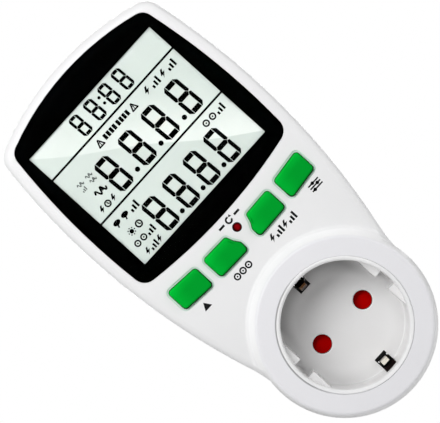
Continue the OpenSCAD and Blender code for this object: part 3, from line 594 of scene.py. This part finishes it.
def cover_plastic(look):
    """White plastic of the covers, with a painted highlight on the upper side of the collar's slope
    (in front of the face) and a little cooler on the collar's flat (within its radius, in front of
    the slope).
    The steps round the keys, which lie just behind the face, carry a painted green reflection of the
    keys, and painted shade darkens the seam between collar and lip."""
    material, w, shader = new_material("Cover plastic", Specular_IOR_Level=0.25)
    place = w.object_place()
    axes = w.axes(place)
    # Painted highlight on the upper side of the collar's slope.
    slope = w.product(w.ramp(axes["Y"], *SLOPE_HIGHLIGHT_Y, 1.0, 0.0), w.ramp(axes["Z"], *SLOPE_HIGHLIGHT_Z))
    around = w.ramp(w.off_axis(place), *COLLAR_R, 1.0, 0.0)
    flat = w.product(around, w.ramp(axes["Y"], *COLLAR_Y, 1.0, 0.0))
    # Painted reflection: the keys' green on the steps round them.
    aside = w.inside(w.maths("ABSOLUTE", axes["X"]), *WELL_X)
    well_reflection = w.product(w.inside(axes["Y"], *WELL_Y), w.inside(axes["Z"], *WELL_Z), aside)
    tint = w.mix(well_reflection, rgba(look.plastic), rgba(look.well_reflection))
    tint = w.mix(slope, tint, rgba(look.slope))
    tint = seam_shade(w, w.mix(flat, tint, rgba(look.collar)), place)
    mould(w, shader, tint, look.gloss, look.grain, drift=0.025, bump=0.12)
    return material


class MONITOR_OT_shells(bpy.types.Operator):
    """Finish both covers and their screws"""

    bl_idname = "monitor.shells"
    bl_label = "Covers and screws"

    def execute(self, context):
        look = context.scene.shell_look
        dress(("front_cover", "rear_cover"), cover_plastic(look))
        steel = metal("Screw steel", look.steel, roughness=0.32, stretch=(2500.0, 2500.0, 2500.0))
        dress(SCREWS, steel, 0.0002)
        return {"FINISHED"}


# The painted reflection on the reflector, a lighter band, in metres: its directions, its edge with
# waves, its fading, and where and how much it weakens.
BAND_ACROSS, BAND_ALONG = (0.654, 0.0, 0.7565), (0.7565, 0.0, -0.654)
BAND_EDGE, BAND_SOFT, BAND_FADE, BAND_POWER = 0.0629, 0.00015, 0.022, 1.3
BAND_WAVES, BAND_SWING = 140.0, 0.0004
BAND_REACH, BAND_WEAK = (-0.083, -0.024), 0.6


def reflector(look):
    """Display reflector: fine speckle, and a painted reflection: a lighter band that fades from a
    sharp, wavy edge and weakens towards one end.
    """
    material, w, shader = new_material("Display reflector", Roughness=0.6, Specular_IOR_Level=0.2)
    place = w.object_place()
    across, along = w.dot(place, BAND_ACROSS), w.dot(place, BAND_ALONG)
    wave = w.product(w.maths("SINE", w.product(along, BAND_WAVES)), BAND_SWING)
    height = w.maths("SUBTRACT", w.maths("ADD", across, wave), BAND_EDGE)
    edge = w.ramp(height, -BAND_SOFT, BAND_SOFT)
    fade = w.maths("POWER", w.ramp(height, 0.0, BAND_FADE, 1.0, 0.0), BAND_POWER)
    # Painted reflection: the band, weaker towards one end.
    band = w.product(edge, fade, w.ramp(along, *BAND_REACH, BAND_WEAK, 1.0))
    speckle = w.maths("SUBTRACT", w.noise(place, 9000.0, 2.0), 0.5)
    tint = w.mix(band, rgba(look.reflector), rgba(look.painted_glint))
    shade = w.maths("ADD", 1.0, w.product(speckle, 0.05))
    w.plug(shader.inputs["Base Color"], w.stretched(tint, shade))
    return material


def printed_mask(look):
    """Black print under the lens: slightly uneven, with the fine dots of the screen it was printed
    through."""
    material, w, shader = new_material("Printed mask", Specular_IOR_Level=0.02)
    place = w.object_place()
    dots = w.ramp(w.noise(place, 6000.0, 1.0), 0.2, 0.8, 0.7, 1.3)
    w.plug(shader.inputs["Base Color"], w.stretched(look.mask, dots))
    w.plug(shader.inputs["Roughness"], w.ramp(w.noise(place, 70.0, 3.0), 0.3, 0.7, 0.45, 0.6))
    return material


def clear_lens():
    """Clear acrylic with a low-reflection surface that is a little uneven."""
    material, w, shader = new_material(
        "Clear lens", Transmission_Weight=1.0, IOR=1.05, Base_Color=(0.985, 0.995, 0.99, 1)
    )
    uneven = w.ramp(w.noise(w.object_place(), 180.0, 3.0), 0.35, 0.75, 0.0, 0.008)
    w.plug(shader.inputs["Roughness"], uneven)
    return material


def segment_ink(name, tint):
    """Display segments, small signs or print: dark, with a faint unevenness of the film."""
    material, w, shader = new_material(name, Specular_IOR_Level=0.0)
    patch = w.noise(w.object_place(), 900.0, 3.0)
    w.plug(shader.inputs["Base Color"], w.stretched(tint, w.ramp(patch, 0.25, 0.75, 0.7, 1.4)))
    w.plug(shader.inputs["Roughness"], w.ramp(patch, 0.25, 0.75, 0.35, 0.55))
    return material


class MONITOR_OT_display(bpy.types.Operator):
    """Finish the display's mask, lens, cell, holder and strip"""

    bl_idname = "monitor.display"
    bl_label = "Display parts"

    def execute(self, context):
        look = context.scene.display_look
        dress(["display_bezel"], printed_mask(look))
        dress(["display_lens"], clear_lens())
        dress(["lcd_cell"], reflector(look))
        dress(["lcd_holder"], plastic("Holder plastic", (0.80, 0.80, 0.79), roughness=0.5))
        rubber = plastic(
            "Strip rubber", (0.03, 0.03, 0.032), roughness=0.75, grain=0.00012, drift=0.2, bump=0.5
        )
        dress(["rubber_strip"], rubber)
        return {"FINISHED"}


def film_depths(look):
    """Back and front of the display's film (mm): the cell's front and a film's height more."""
    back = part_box("lcd_cell")[0].y / MM
    return back, back - look.film / MM


# Digits of each row in mm: middles, foot, then width, height, uprights, flat bars and gaps.
DIGIT_ROWS = {
    "display_digits_top": ((-9.22, -2.63, 4.06, 10.31), 98.95, 3.8, 7.65, 0.92, 1.1, 0.1),
    "display_digits_middle": ((-13.42, -2.52, 8.18, 18.98), 78.7, 6.0, 12.5, 1.31, 1.72, 0.14),
    "display_digits_bottom": ((-12.83, -3.33, 6.27, 15.87), 59.7, 5.9, 12.2, 1.29, 1.67, 0.14),
}
# Dots in mm: places across, places up and radius.
DOT_ROWS = (
    ((1.0,), (104.3, 101.9), 0.54),
    ((-7.45, 3.5, 14.4), (80.4,), 0.85),
    ((-7.7, 2.0, 11.7), (61.3,), 0.82),
)
LINE_LEVELS, LINE_WIDTH = (97.7, 77.2), 56.2    # mm
# Rows of signs in mm: signs, middle, foot, height and width.
SIGN_ROWS = (
    ((sign_bolt, sign_bars, sign_bolt, sign_bars), 18.5, 93.3, 2.7, 13.6),
    ((sign_warning, sign_blocks, sign_blocks, sign_warning), -1.6, 93.3, 2.7, 18.4),
    ((sign_coin, sign_coin, sign_bars), 20.9, 72.8, 2.6, 9.0),
    ((sign_wave,), -20.1, 83.2, 2.5, 4.1),
    ((sign_bolt, sign_clock, sign_bolt), -21.6, 78.9, 2.4, 7.0),
    ((sign_leaf, sign_leaf, sign_bars), -20.4, 72.3, 2.7, 10.4),
    ((sign_sun, sign_clock), -21.4, 67.4, 2.6, 5.9),
    ((sign_coin, sign_coin, sign_bars), -21.5, 63.5, 2.5, 8.5),
    ((sign_bolt, sign_bars, sign_bolt), -21.5, 59.6, 2.4, 7.2),
)
SMALL_SIGN_ROWS = (
    ((sign_wave, sign_wave), -21.1, 89.7, 1.4, 6.2),
    ((sign_bars, sign_wave), -21.1, 87.8, 1.4, 6.2),
)


class MONITOR_OT_digits(bpy.types.Operator):
    """Make the display's digits, dots, colon and dividing lines"""

    bl_idname = "monitor.digits"
    bl_label = "Display digits"

    def execute(self, context):
        look = context.scene.display_look
        ink = segment_ink("Display segments", look.ink)
        depths = film_depths(look)
        for name, (places, base, *sizes) in DIGIT_ROWS.items():
            outlines = [s for x in places for s in digit_eight(x, base, *sizes, look.lean)]
            place_mesh(name, *inlay(outlines, *depths), ink, "lcd_grey")
        dots = [disc_outline(x, z, r) for across, up, r in DOT_ROWS for x in across for z in up]
        place_mesh("display_dots", *inlay(dots, *depths), ink, "lcd_grey")
        lines = [box_outline(0, z, LINE_WIDTH, look.line / MM) for z in LINE_LEVELS]
        place_mesh("display_lines", *inlay(lines, *depths), ink, "lcd_grey")
        return {"FINISHED"}


class MONITOR_OT_signs(bpy.types.Operator):
    """Make the small generic signs of the display"""

    bl_idname = "monitor.signs"
    bl_label = "Display signs"

    def execute(self, context):
        look = context.scene.display_look
        depths = film_depths(look)
        dark = segment_ink("Display signs", look.ink)
        faint = segment_ink("Faint display signs", look.faint_ink)
        signs = [o for row in SIGN_ROWS for o in sign_row(*row)]
        place_mesh("display_signs", *inlay(signs, *depths), dark, "lcd_grey")
        small = [o for row in SMALL_SIGN_ROWS for o in sign_row(*row)]
        place_mesh("display_small_signs", *inlay(small, *depths), faint, "lcd_grey")
        return {"FINISHED"}


# Where a green key's painted light and painted shade change, in metres from its upper edge, middle
# and front, and how much.
KEY_TOP, KEY_FOOT, KEY_RIM = (0.0045, 0.0005), (0.0030, 0.0015), (0.0001, 0.0004)
KEY_LEFT_LIGHT, KEY_TOP_LIGHT, KEY_FOOT_SHADE = 0.3, 0.4, 0.3
# Where the reset key's shade changes, in metres from its axis, and how dark it gets.
RESET_SIDE, RESET_SIDE_SHADE = (-0.0011, 0.0), 0.4
RESET_R, RESET_RIM_SHADE = (0.0005, 0.0013), 0.15


def key_plastic(look, name):
    """Green plastic of one key, with painted light towards its left end and its upper edge, as on a
    slightly domed key lit from above, and painted shade on its lower edge: behind the flat front, in
    the lower part of its box."""
    material, w, shader = new_material(f"Key green of {name}", Specular_IOR_Level=0.01)
    low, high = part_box(name)
    middle = (low + high) / 2
    axes = w.axes(w.object_place())
    left = w.ramp(axes["X"], low.x, middle.x, KEY_LEFT_LIGHT, 0.0)
    upper = w.ramp(axes["Z"], *(high.z - down for down in KEY_TOP), 0.0, KEY_TOP_LIGHT)
    light = w.maths("ADD", w.maths("ADD", left, upper), 1.0)
    below = w.ramp(axes["Z"], *(middle.z - down for down in KEY_FOOT), 1.0, 0.0)
    edge = w.product(below, w.ramp(axes["Y"], *(low.y + back for back in KEY_RIM)))
    shade = w.product(light, w.ramp(edge, 0.0, 1.0, 1.0, KEY_FOOT_SHADE))
    tint = w.stretched(look.green, shade)
    mould(w, shader, tint, roughness=0.42, grain=0.00025, drift=0.1, bump=0.2)
    return material


def reset_plastic(look):
    """Red plastic of the reset key with painted shade, darker towards its rim and its left side: the
    distance from its axis and the place across it set the shade."""
    material, w, shader = new_material("Reset red", Specular_IOR_Level=0.03)
    low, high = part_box("reset_key")
    middle = ((low + high) / 2)[:]
    away = w.add("VectorMath", {0: w.object_place(), 1: middle}, operation="SUBTRACT").outputs[0]
    across = w.ramp(w.axes(away)["X"], *RESET_SIDE, RESET_SIDE_SHADE, 1.0)
    shade = w.product(across, w.ramp(w.off_axis(away), *RESET_R, 1.0, RESET_RIM_SHADE))
    tint = w.stretched(look.red, shade)
    mould(w, shader, tint, roughness=0.4, grain=0.00025, drift=0.1, bump=0.2)
    return material


class MONITOR_OT_keys(bpy.types.Operator):
    """Finish the keys, their switches and plungers"""

    bl_idname = "monitor.keys"
    bl_label = "Keys and switches"

    def execute(self, context):
        look = context.scene.key_look
        for name in KEYS[:4]:
            dress([name], key_plastic(look, name))
        dress(["reset_key"], reset_plastic(look), 0.0002)
        body = plastic("Switch body", (0.10, 0.10, 0.105), roughness=0.55)
        dress([f"{k}_switch" for k in KEYS], body, 0.0002)
        black = plastic("Plunger black", (0.02, 0.02, 0.02), roughness=0.45)
        dress([f"{k}_plunger" for k in KEYS], black, 0.0001)
        return {"FINISHED"}


LENS_SUNK = 0.05      # mm by which the lens lies behind the cover's face
LEGEND_FILM = 0.02    # mm of print on the face


class MONITOR_OT_legends(bpy.types.Operator):
    """Print generic signs beside the keys"""

    bl_idname = "monitor.legends"
    bl_label = "Key legends"

    def execute(self, context):
        look = context.scene.key_look
        ink = segment_ink("Legend print", look.print_ink)
        face = (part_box("display_lens")[0].y / MM) - LENS_SUNK
        h = look.print_height / MM
        rows = [
            ((sign_triangle,), -24.6, 34.6, h, 3.7),
            ((sign_coin, sign_coin, sign_coin), -8.8, 33.4, h, 7.5),
            ((sign_bolt, sign_bars, sign_bolt, sign_bars), 9.6, 33.4, h, 11.3),
            ((sign_sliders,), 26.2, 34.7, h, 4.7),
            ((sign_dash, sign_again, sign_dash), 0.0, 47.3, 2.5, 9.0),
        ]
        outlines = [o for row in rows for o in sign_row(*row)]
        place_mesh("key_legends", *inlay(outlines, face, face - LEGEND_FILM), ink, "housing")
        return {"FINISHED"}


# Where the cup's finish, its painted highlights and its painted shade change, in metres as for the
# covers.
# Painted shade on the walls of the earth slots and pin holes: where those walls lie.
SLOT_X, SLOT_Z = 0.00223, 0.0155
UNDER_FLOOR_Y, WALL_Y, WALL_Z = -0.0411, -0.0537, 0.0202
# The pin holes, and the painted highlight ring round them.
HOLE_X, HOLE_R, HOLE_HIGHLIGHT_R = 0.0095, 0.00315, (0.0034, 0.0037)
# The lip, and the painted highlight on its upper part.
LIP_Y, LIP_HIGHLIGHT_Z = (-0.0580, -0.0560), (-0.002, 0.012)
CORNER_X, CORNER_Y = (0.0140, 0.0175), (-0.0428, -0.0420)
CORNER_Z, CORNER_R = (-0.004, 0.010), (0.0145, 0.0196)
# Painted shade in the corner of floor and wall: how dark at the bottom and at the top.
CORNER_SHADE = (0.12, 0.42)
# Where an earth strap's painted shade changes, in metres, and the share of its colour that the
# painted shade leaves.
STRAP_BEND_Y, STRAP_BOW_Z, PLATING_Y = (-0.0450, -0.0420), (0.0163, 0.0169), (-0.026, -0.020)
STRAP_BEND_SHADED_SHARE, STRAP_BOW_SHADED_SHARE = 0.01, 0.2


def cup_plastic(look):
    """White plastic of the cup, paler at the lip, with a painted highlight on the lip's upper part
    and a painted highlight ring round the pin holes, and painted shade towards the corner of floor
    and wall, most at the top, and in the seam by the lip. Painted shade also darkens the walls of
    the pin holes (within the hole's radius of its axis, under the floor) and of the earth slots (|x|
    inside the slot,
    |z| past its inner end, under the floor or behind the wall)."""
    material, w, shader = new_material("Cup plastic", Specular_IOR_Level=0.25)
    place = w.object_place()
    axes = w.axes(place)
    aside, away = w.maths("ABSOLUTE", axes["X"]), w.maths("ABSOLUTE", axes["Z"])
    under = w.maths("GREATER_THAN", axes["Y"], UNDER_FLOOR_Y)
    wall = w.maths("GREATER_THAN", away, WALL_Z)
    behind = w.product(wall, w.maths("GREATER_THAN", axes["Y"], WALL_Y))
    slot = w.product(w.maths("LESS_THAN", aside, SLOT_X), w.maths("GREATER_THAN", away, SLOT_Z))
    slot = w.product(slot, w.maths("MAXIMUM", under, behind))
    from_hole = w.add("CombineXYZ", {0: w.maths("SUBTRACT", aside, HOLE_X), 2: away}).outputs[0]
    radius = w.length(from_hole)
    hole = w.product(w.maths("LESS_THAN", radius, HOLE_R), under)
    # Painted highlight on the lip's upper part.
    lip = w.mix(w.ramp(axes["Z"], *LIP_HIGHLIGHT_Z), rgba(look.lip), rgba(look.lip_top_highlight))
    tint = w.mix(w.ramp(axes["Y"], *LIP_Y), lip, rgba(look.cup))
    # Painted highlight ring round the pin holes.
    tint = w.mix(w.ramp(radius, *HOLE_HIGHLIGHT_R, 1.0, 0.0), tint, rgba(look.hole_highlight))
    # Painted shade towards the corner of floor and wall, most at the top.
    corner = w.product(
        w.ramp(w.off_axis(place), *CORNER_R),
        w.ramp(axes["Z"], *CORNER_Z, *CORNER_SHADE),
        w.ramp(axes["Y"], *CORNER_Y),
        w.ramp(aside, *CORNER_X, 1.0, 0.0),
    )
    tint = w.stretched(seam_shade(w, tint, place), w.maths("SUBTRACT", 1.0, corner))
    # Painted shade on the walls of the pin holes and earth slots.
    tint = w.mix(w.maths("MAXIMUM", hole, slot), tint, rgba(look.hollow_shade))
    mould(w, shader, tint, roughness=0.38, grain=0.0004, drift=0.03, bump=0.12)
    return material


def earth_metal(name, tint, plated):
    """Spring metal of an earth strap, darkened by painted shade where it runs below the socket's
    floor and where the clip bows in to rub on a plug, and plated bright at its other end, on the
    side of the plug."""
    material, w, shader = new_material(name, Metallic=1.0)
    axes = w.axes(w.object_place())
    # Painted shade below the floor and where the clip bows in.
    bend = w.ramp(axes["Y"], *STRAP_BEND_Y, 1.0, STRAP_BEND_SHADED_SHARE)
    bow_shade = w.ramp(w.maths("ABSOLUTE", axes["Z"]), *STRAP_BOW_Z, STRAP_BOW_SHADED_SHARE, 1.0)
    shaded_tint = w.stretched(tint, w.product(bend, bow_shade))
    ends = w.mix(w.ramp(axes["Y"], *PLATING_Y), shaded_tint, rgba(plated))
    draw_out(w, shader, ends, roughness=0.3, stretch=(6000.0, 250.0, 6000.0))
    return material


class MONITOR_OT_socket(bpy.types.Operator):
    """Finish the socket cup, its shutter, contacts and straps"""

    bl_idname = "monitor.socket"
    bl_label = "Socket"

    def execute(self, context):
        look = context.scene.socket_look
        dress(["socket_insert"], cup_plastic(look), 0.00012)
        carrier = plastic(
            "Carrier plastic", (0.012, 0.012, 0.013), roughness=0.5, grain=0.0004, drift=0.05
        )
        dress(["contact_carrier"], carrier)
        red = plastic("Shutter red", look.shutter, drift=0.12, bump=0.2, specular=0.0)
        dress(["safety_shutter"], red, 0.0002)
        dress(["live_contact", "neutral_contact", "live_strap"], metal("Contact brass", look.brass))
        fibre = plastic(
            "Insulator fibre", (0.70, 0.64, 0.50), roughness=0.65, grain=0.00015, drift=0.2, bump=0.4
        )
        dress(["live_insulator"], fibre)
        # The upper strap and link take the shaded copy of the strap metal, the lower strap the lit
        # copy.
        dull = earth_metal("Dull earth metal", look.earth_shaded, look.plated)
        dress(["earth_strap_upper", "earth_link"], dull)
        dress(["earth_strap_lower"], earth_metal("Earth metal", look.earth, look.plated))
        return {"FINISHED"}


class MONITOR_OT_plug(bpy.types.Operator):
    """Finish the plug pins"""

    bl_idname = "monitor.plug"
    bl_label = "Plug pins"

    def execute(self, context):
        look = context.scene.socket_look
        turned = (300.0, 5000.0, 300.0)
        nickel = metal(
            "Pin nickel", look.nickel, roughness=0.24, stretch=turned, bump=0.03, dulling=0.15
        )
        dress(["live_pin", "neutral_pin"], nickel)
        return {"FINISHED"}


# The boards' tracks: cells per metre and their spread, where a track starts in a cell, its height.
TRACK_SCALE, TRACK_RANDOM, TRACK_EDGE, TRACK_DEPTH = 260.0, 0.65, (0.34, 0.38), 0.00004


def board_laminate(look):
    """Circuit board: straight tracks under the solder mask, from the cell edges of a square Voronoi
    pattern."""
    material, w, shader = new_material("Board laminate", Specular_IOR_Level=0.5, Coat_Weight=0.2)
    place = w.object_place()
    pattern = {"Vector": place, "Scale": TRACK_SCALE, "Randomness": TRACK_RANDOM}
    cells = w.add("TexVoronoi", pattern, feature="F1", distance="CHEBYCHEV")
    track = w.ramp(cells.outputs["Distance"], *TRACK_EDGE)
    raised = w.add("Bump", {"Strength": 0.4, "Distance": TRACK_DEPTH, "Height": track})
    w.plug(shader.inputs["Base Color"], w.mix(track, rgba(look.solder_mask), rgba(look.copper)))
    w.plug(shader.inputs["Roughness"], w.ramp(w.noise(place, 300.0, 3.0), 0.3, 0.7, 0.3, 0.5))
    w.plug(shader.inputs["Normal"], raised.outputs[0])
    return material


# Coated parts: nodes, bevel, then the coat's name, tint, roughness, grain and drift.
FILTERS = ("filter_capacitor_1", "filter_capacitor_2")
COATED = (
    (["backup_battery"], 0.0004, "Battery sleeve", (0.03, 0.26, 0.09), 0.35, 0.0006, 0.12),
    (["dropper_capacitor"], 0.0006, "Capacitor yellow", (0.75, 0.48, 0.04), 0.45, 0.0006, 0.08),
    (FILTERS, 0.0004, "Capacitor sleeve", (0.03, 0.05, 0.20), 0.35, 0.0005, 0.12),
    (["surge_varistor"], 0.0008, "Varistor coat", (0.04, 0.12, 0.42), 0.4, 0.0006, 0.15),
)


class MONITOR_OT_boards(bpy.types.Operator):
    """Finish the boards and the parts on them"""

    bl_idname = "monitor.boards"
    bl_label = "Boards"

    def execute(self, context):
        look = context.scene.board_look
        dress(["main_board", "power_board"], board_laminate(look))
        chip = plastic(
            "Chip black", (0.018, 0.018, 0.019), roughness=0.5, grain=0.0001, drift=0.2, bump=0.4
        )
        dress(["meter_chip", "board_header"], chip, 0.0001)
        can = metal("Can steel", (0.7, 0.7, 0.72), roughness=0.25, stretch=(900.0, 900.0, 5000.0))
        dress(["clock_crystal"], can)
        dress(["current_shunt"], metal("Shunt metal", (0.60, 0.47, 0.36), roughness=0.42))
        for names, bevel, *coat in COATED:
            dress(names, plastic(*coat), bevel)
        return {"FINISHED"}


def look_from(eye, aim, roll):
    """Camera matrix at eye that looks at aim, with the picture turned by roll about the view."""
    back = (eye - aim).normalized()
    right = Vector((np.cos(roll), 0.0, np.sin(roll)))
    right = (right - back * right.dot(back)).normalized()
    turn = Matrix((right, back.cross(right), back)).transposed()
    return Matrix.Translation(eye) @ turn.to_4x4()


def seen_directly(w):
    """1 for what the camera sees itself, in a reflection or through glass, else 0."""
    path = w.add("LightPath").outputs
    seen = w.maths("ADD", path["Is Camera Ray"], path["Is Glossy Ray"])
    return w.maths("ADD", seen, path["Is Transmission Ray"], clamp=True)


def floor_paper(look):
    """Pale paper that shows the object's shadow, with a glow for the camera and reflections."""
    paper = {"roughness": 0.8, "grain": 0.002, "drift": 0.02, "bump": 0.05, "specular": 0.1}
    material = plastic("Floor paper", look.floor_colour, **paper)
    w = Wiring(material.node_tree)
    shader = material.node_tree.nodes["Principled BSDF"]
    glow = w.mix(seen_directly(w), (0, 0, 0, 1), rgba(look.floor_glow))
    shader.inputs["Emission Strength"].default_value = 1.0
    w.plug(shader.inputs["Emission Color"], glow)
    return material


def floor_grid(half, level, cells=8):
    """Points (u half, v half, level) for u and v from -1 to 1 in even steps, and square faces."""
    n = cells + 1
    u, v = np.meshgrid(np.linspace(-1, 1, n), np.linspace(-1, 1, n))
    points = np.column_stack([u.ravel() * half, v.ravel() * half, np.full(u.size, level)])
    i = (np.arange(cells)[:, None] * n + np.arange(cells)).ravel()
    return points, np.column_stack([i, i + 1, i + n + 1, i + n]).tolist()


def studio_world(look):
    """White all round for the camera and for reflections, and a softer even light for the rest."""
    world = bpy.data.worlds.new("Studio")
    world.use_nodes = True
    w = Wiring(world.node_tree)
    background = world.node_tree.nodes["Background"]
    background.inputs["Color"].default_value = (1, 1, 1, 1)
    strength = w.ramp(seen_directly(w), 0.0, 1.0, look.ambient, 1.0, "LINEAR")
    w.plug(background.inputs["Strength"], strength)
    return world


# Soft lights, which the camera doesn't see: place and size in metres, property of their power.
LAMPS = {
    "Key light": ((-0.08, -0.47, 0.365), (0.5, 0.28), "key_power"),
    "Right light": ((0.55, -0.17, 0.02), (0.3, 0.5), "right_power"),
    "Left light": ((-0.55, -0.17, 0.06), (0.3, 0.5), "left_power"),
    "Back light": ((0.0, 0.62, 0.22), (0.6, 0.4), "back_power"),
}


class MONITOR_OT_stage(bpy.types.Operator):
    """Make the floor, the lights, the world and the camera"""

    bl_idname = "monitor.stage"
    bl_label = "Stage"

    def execute(self, context):
        scene = context.scene
        look = scene.stage_look
        scene.view_settings.view_transform = "Standard"
        scene.world = studio_world(look)
        points, faces = floor_grid(look.floor_size, look.floor_drop)
        mesh = bpy.data.meshes.new("floor")
        mesh.from_pydata(points, [], faces)
        floor = bpy.data.objects.new("floor", mesh)
        context.collection.objects.link(floor)
        mesh.materials.append(floor_paper(look))
        for name, (place, size, watts) in LAMPS.items():
            light = bpy.data.lights.new(name, "AREA")
            light.shape = "RECTANGLE"
            light.size, light.size_y = size
            light.energy = getattr(look, watts)
            lamp = bpy.data.objects.new(name, light)
            context.collection.objects.link(lamp)
            lamp.location = place
            lamp.rotation_mode = "QUATERNION"
            way = Vector(look.aim) - Vector(place)
            lamp.rotation_quaternion = way.to_track_quat("-Z", "Y")
            lamp.visible_camera = False
        camera = bpy.data.objects.new("Camera", bpy.data.cameras.new("Camera"))
        context.collection.objects.link(camera)
        camera.data.lens = look.lens
        camera.data.clip_start = 0.01
        camera.matrix_world = look_from(Vector(look.eye), Vector(look.aim), look.roll)
        scene.camera = camera
        return {"FINISHED"}


class MONITOR_PT_panel(bpy.types.Panel):
    """Steps that dress the monitor, in order"""

    bl_idname = "MONITOR_PT_panel"
    bl_label = "Energy monitor"
    bl_space_type = "VIEW_3D"
    bl_region_type = "UI"
    bl_category = "Monitor"

    def draw(self, context):
        for step in STEPS:
            self.layout.operator(step.bl_idname)


LOOKS = {
    "shell_look": ShellLook,
    "display_look": DisplayLook,
    "key_look": KeyLook,
    "socket_look": SocketLook,
    "board_look": BoardLook,
    "stage_look": StageLook,
}
STEPS = (
    MONITOR_OT_shells,
    MONITOR_OT_display,
    MONITOR_OT_digits,
    MONITOR_OT_signs,
    MONITOR_OT_keys,
    MONITOR_OT_legends,
    MONITOR_OT_socket,
    MONITOR_OT_plug,
    MONITOR_OT_boards,
    MONITOR_OT_stage,
)
CLASSES = (*LOOKS.values(), *STEPS, MONITOR_PT_panel)


def register():
    """Registers the looks, the steps and the panel."""
    for cls in CLASSES:
        bpy.utils.register_class(cls)
    for name, cls in LOOKS.items():
        setattr(bpy.types.Scene, name, PointerProperty(type=cls))


def unregister():
    """Takes back what register did."""
    for name in LOOKS:
        delattr(bpy.types.Scene, name)
    for cls in reversed(CLASSES):
        bpy.utils.unregister_class(cls)


def main():
    """Runs every step."""
    register()
    bpy.ops.monitor.shells()
    bpy.ops.monitor.display()
    bpy.ops.monitor.digits()
    bpy.ops.monitor.signs()
    bpy.ops.monitor.keys()
    bpy.ops.monitor.legends()
    bpy.ops.monitor.socket()
    bpy.ops.monitor.plug()
    bpy.ops.monitor.boards()
    bpy.ops.monitor.stage()


if __name__ == "__main__":
    main()
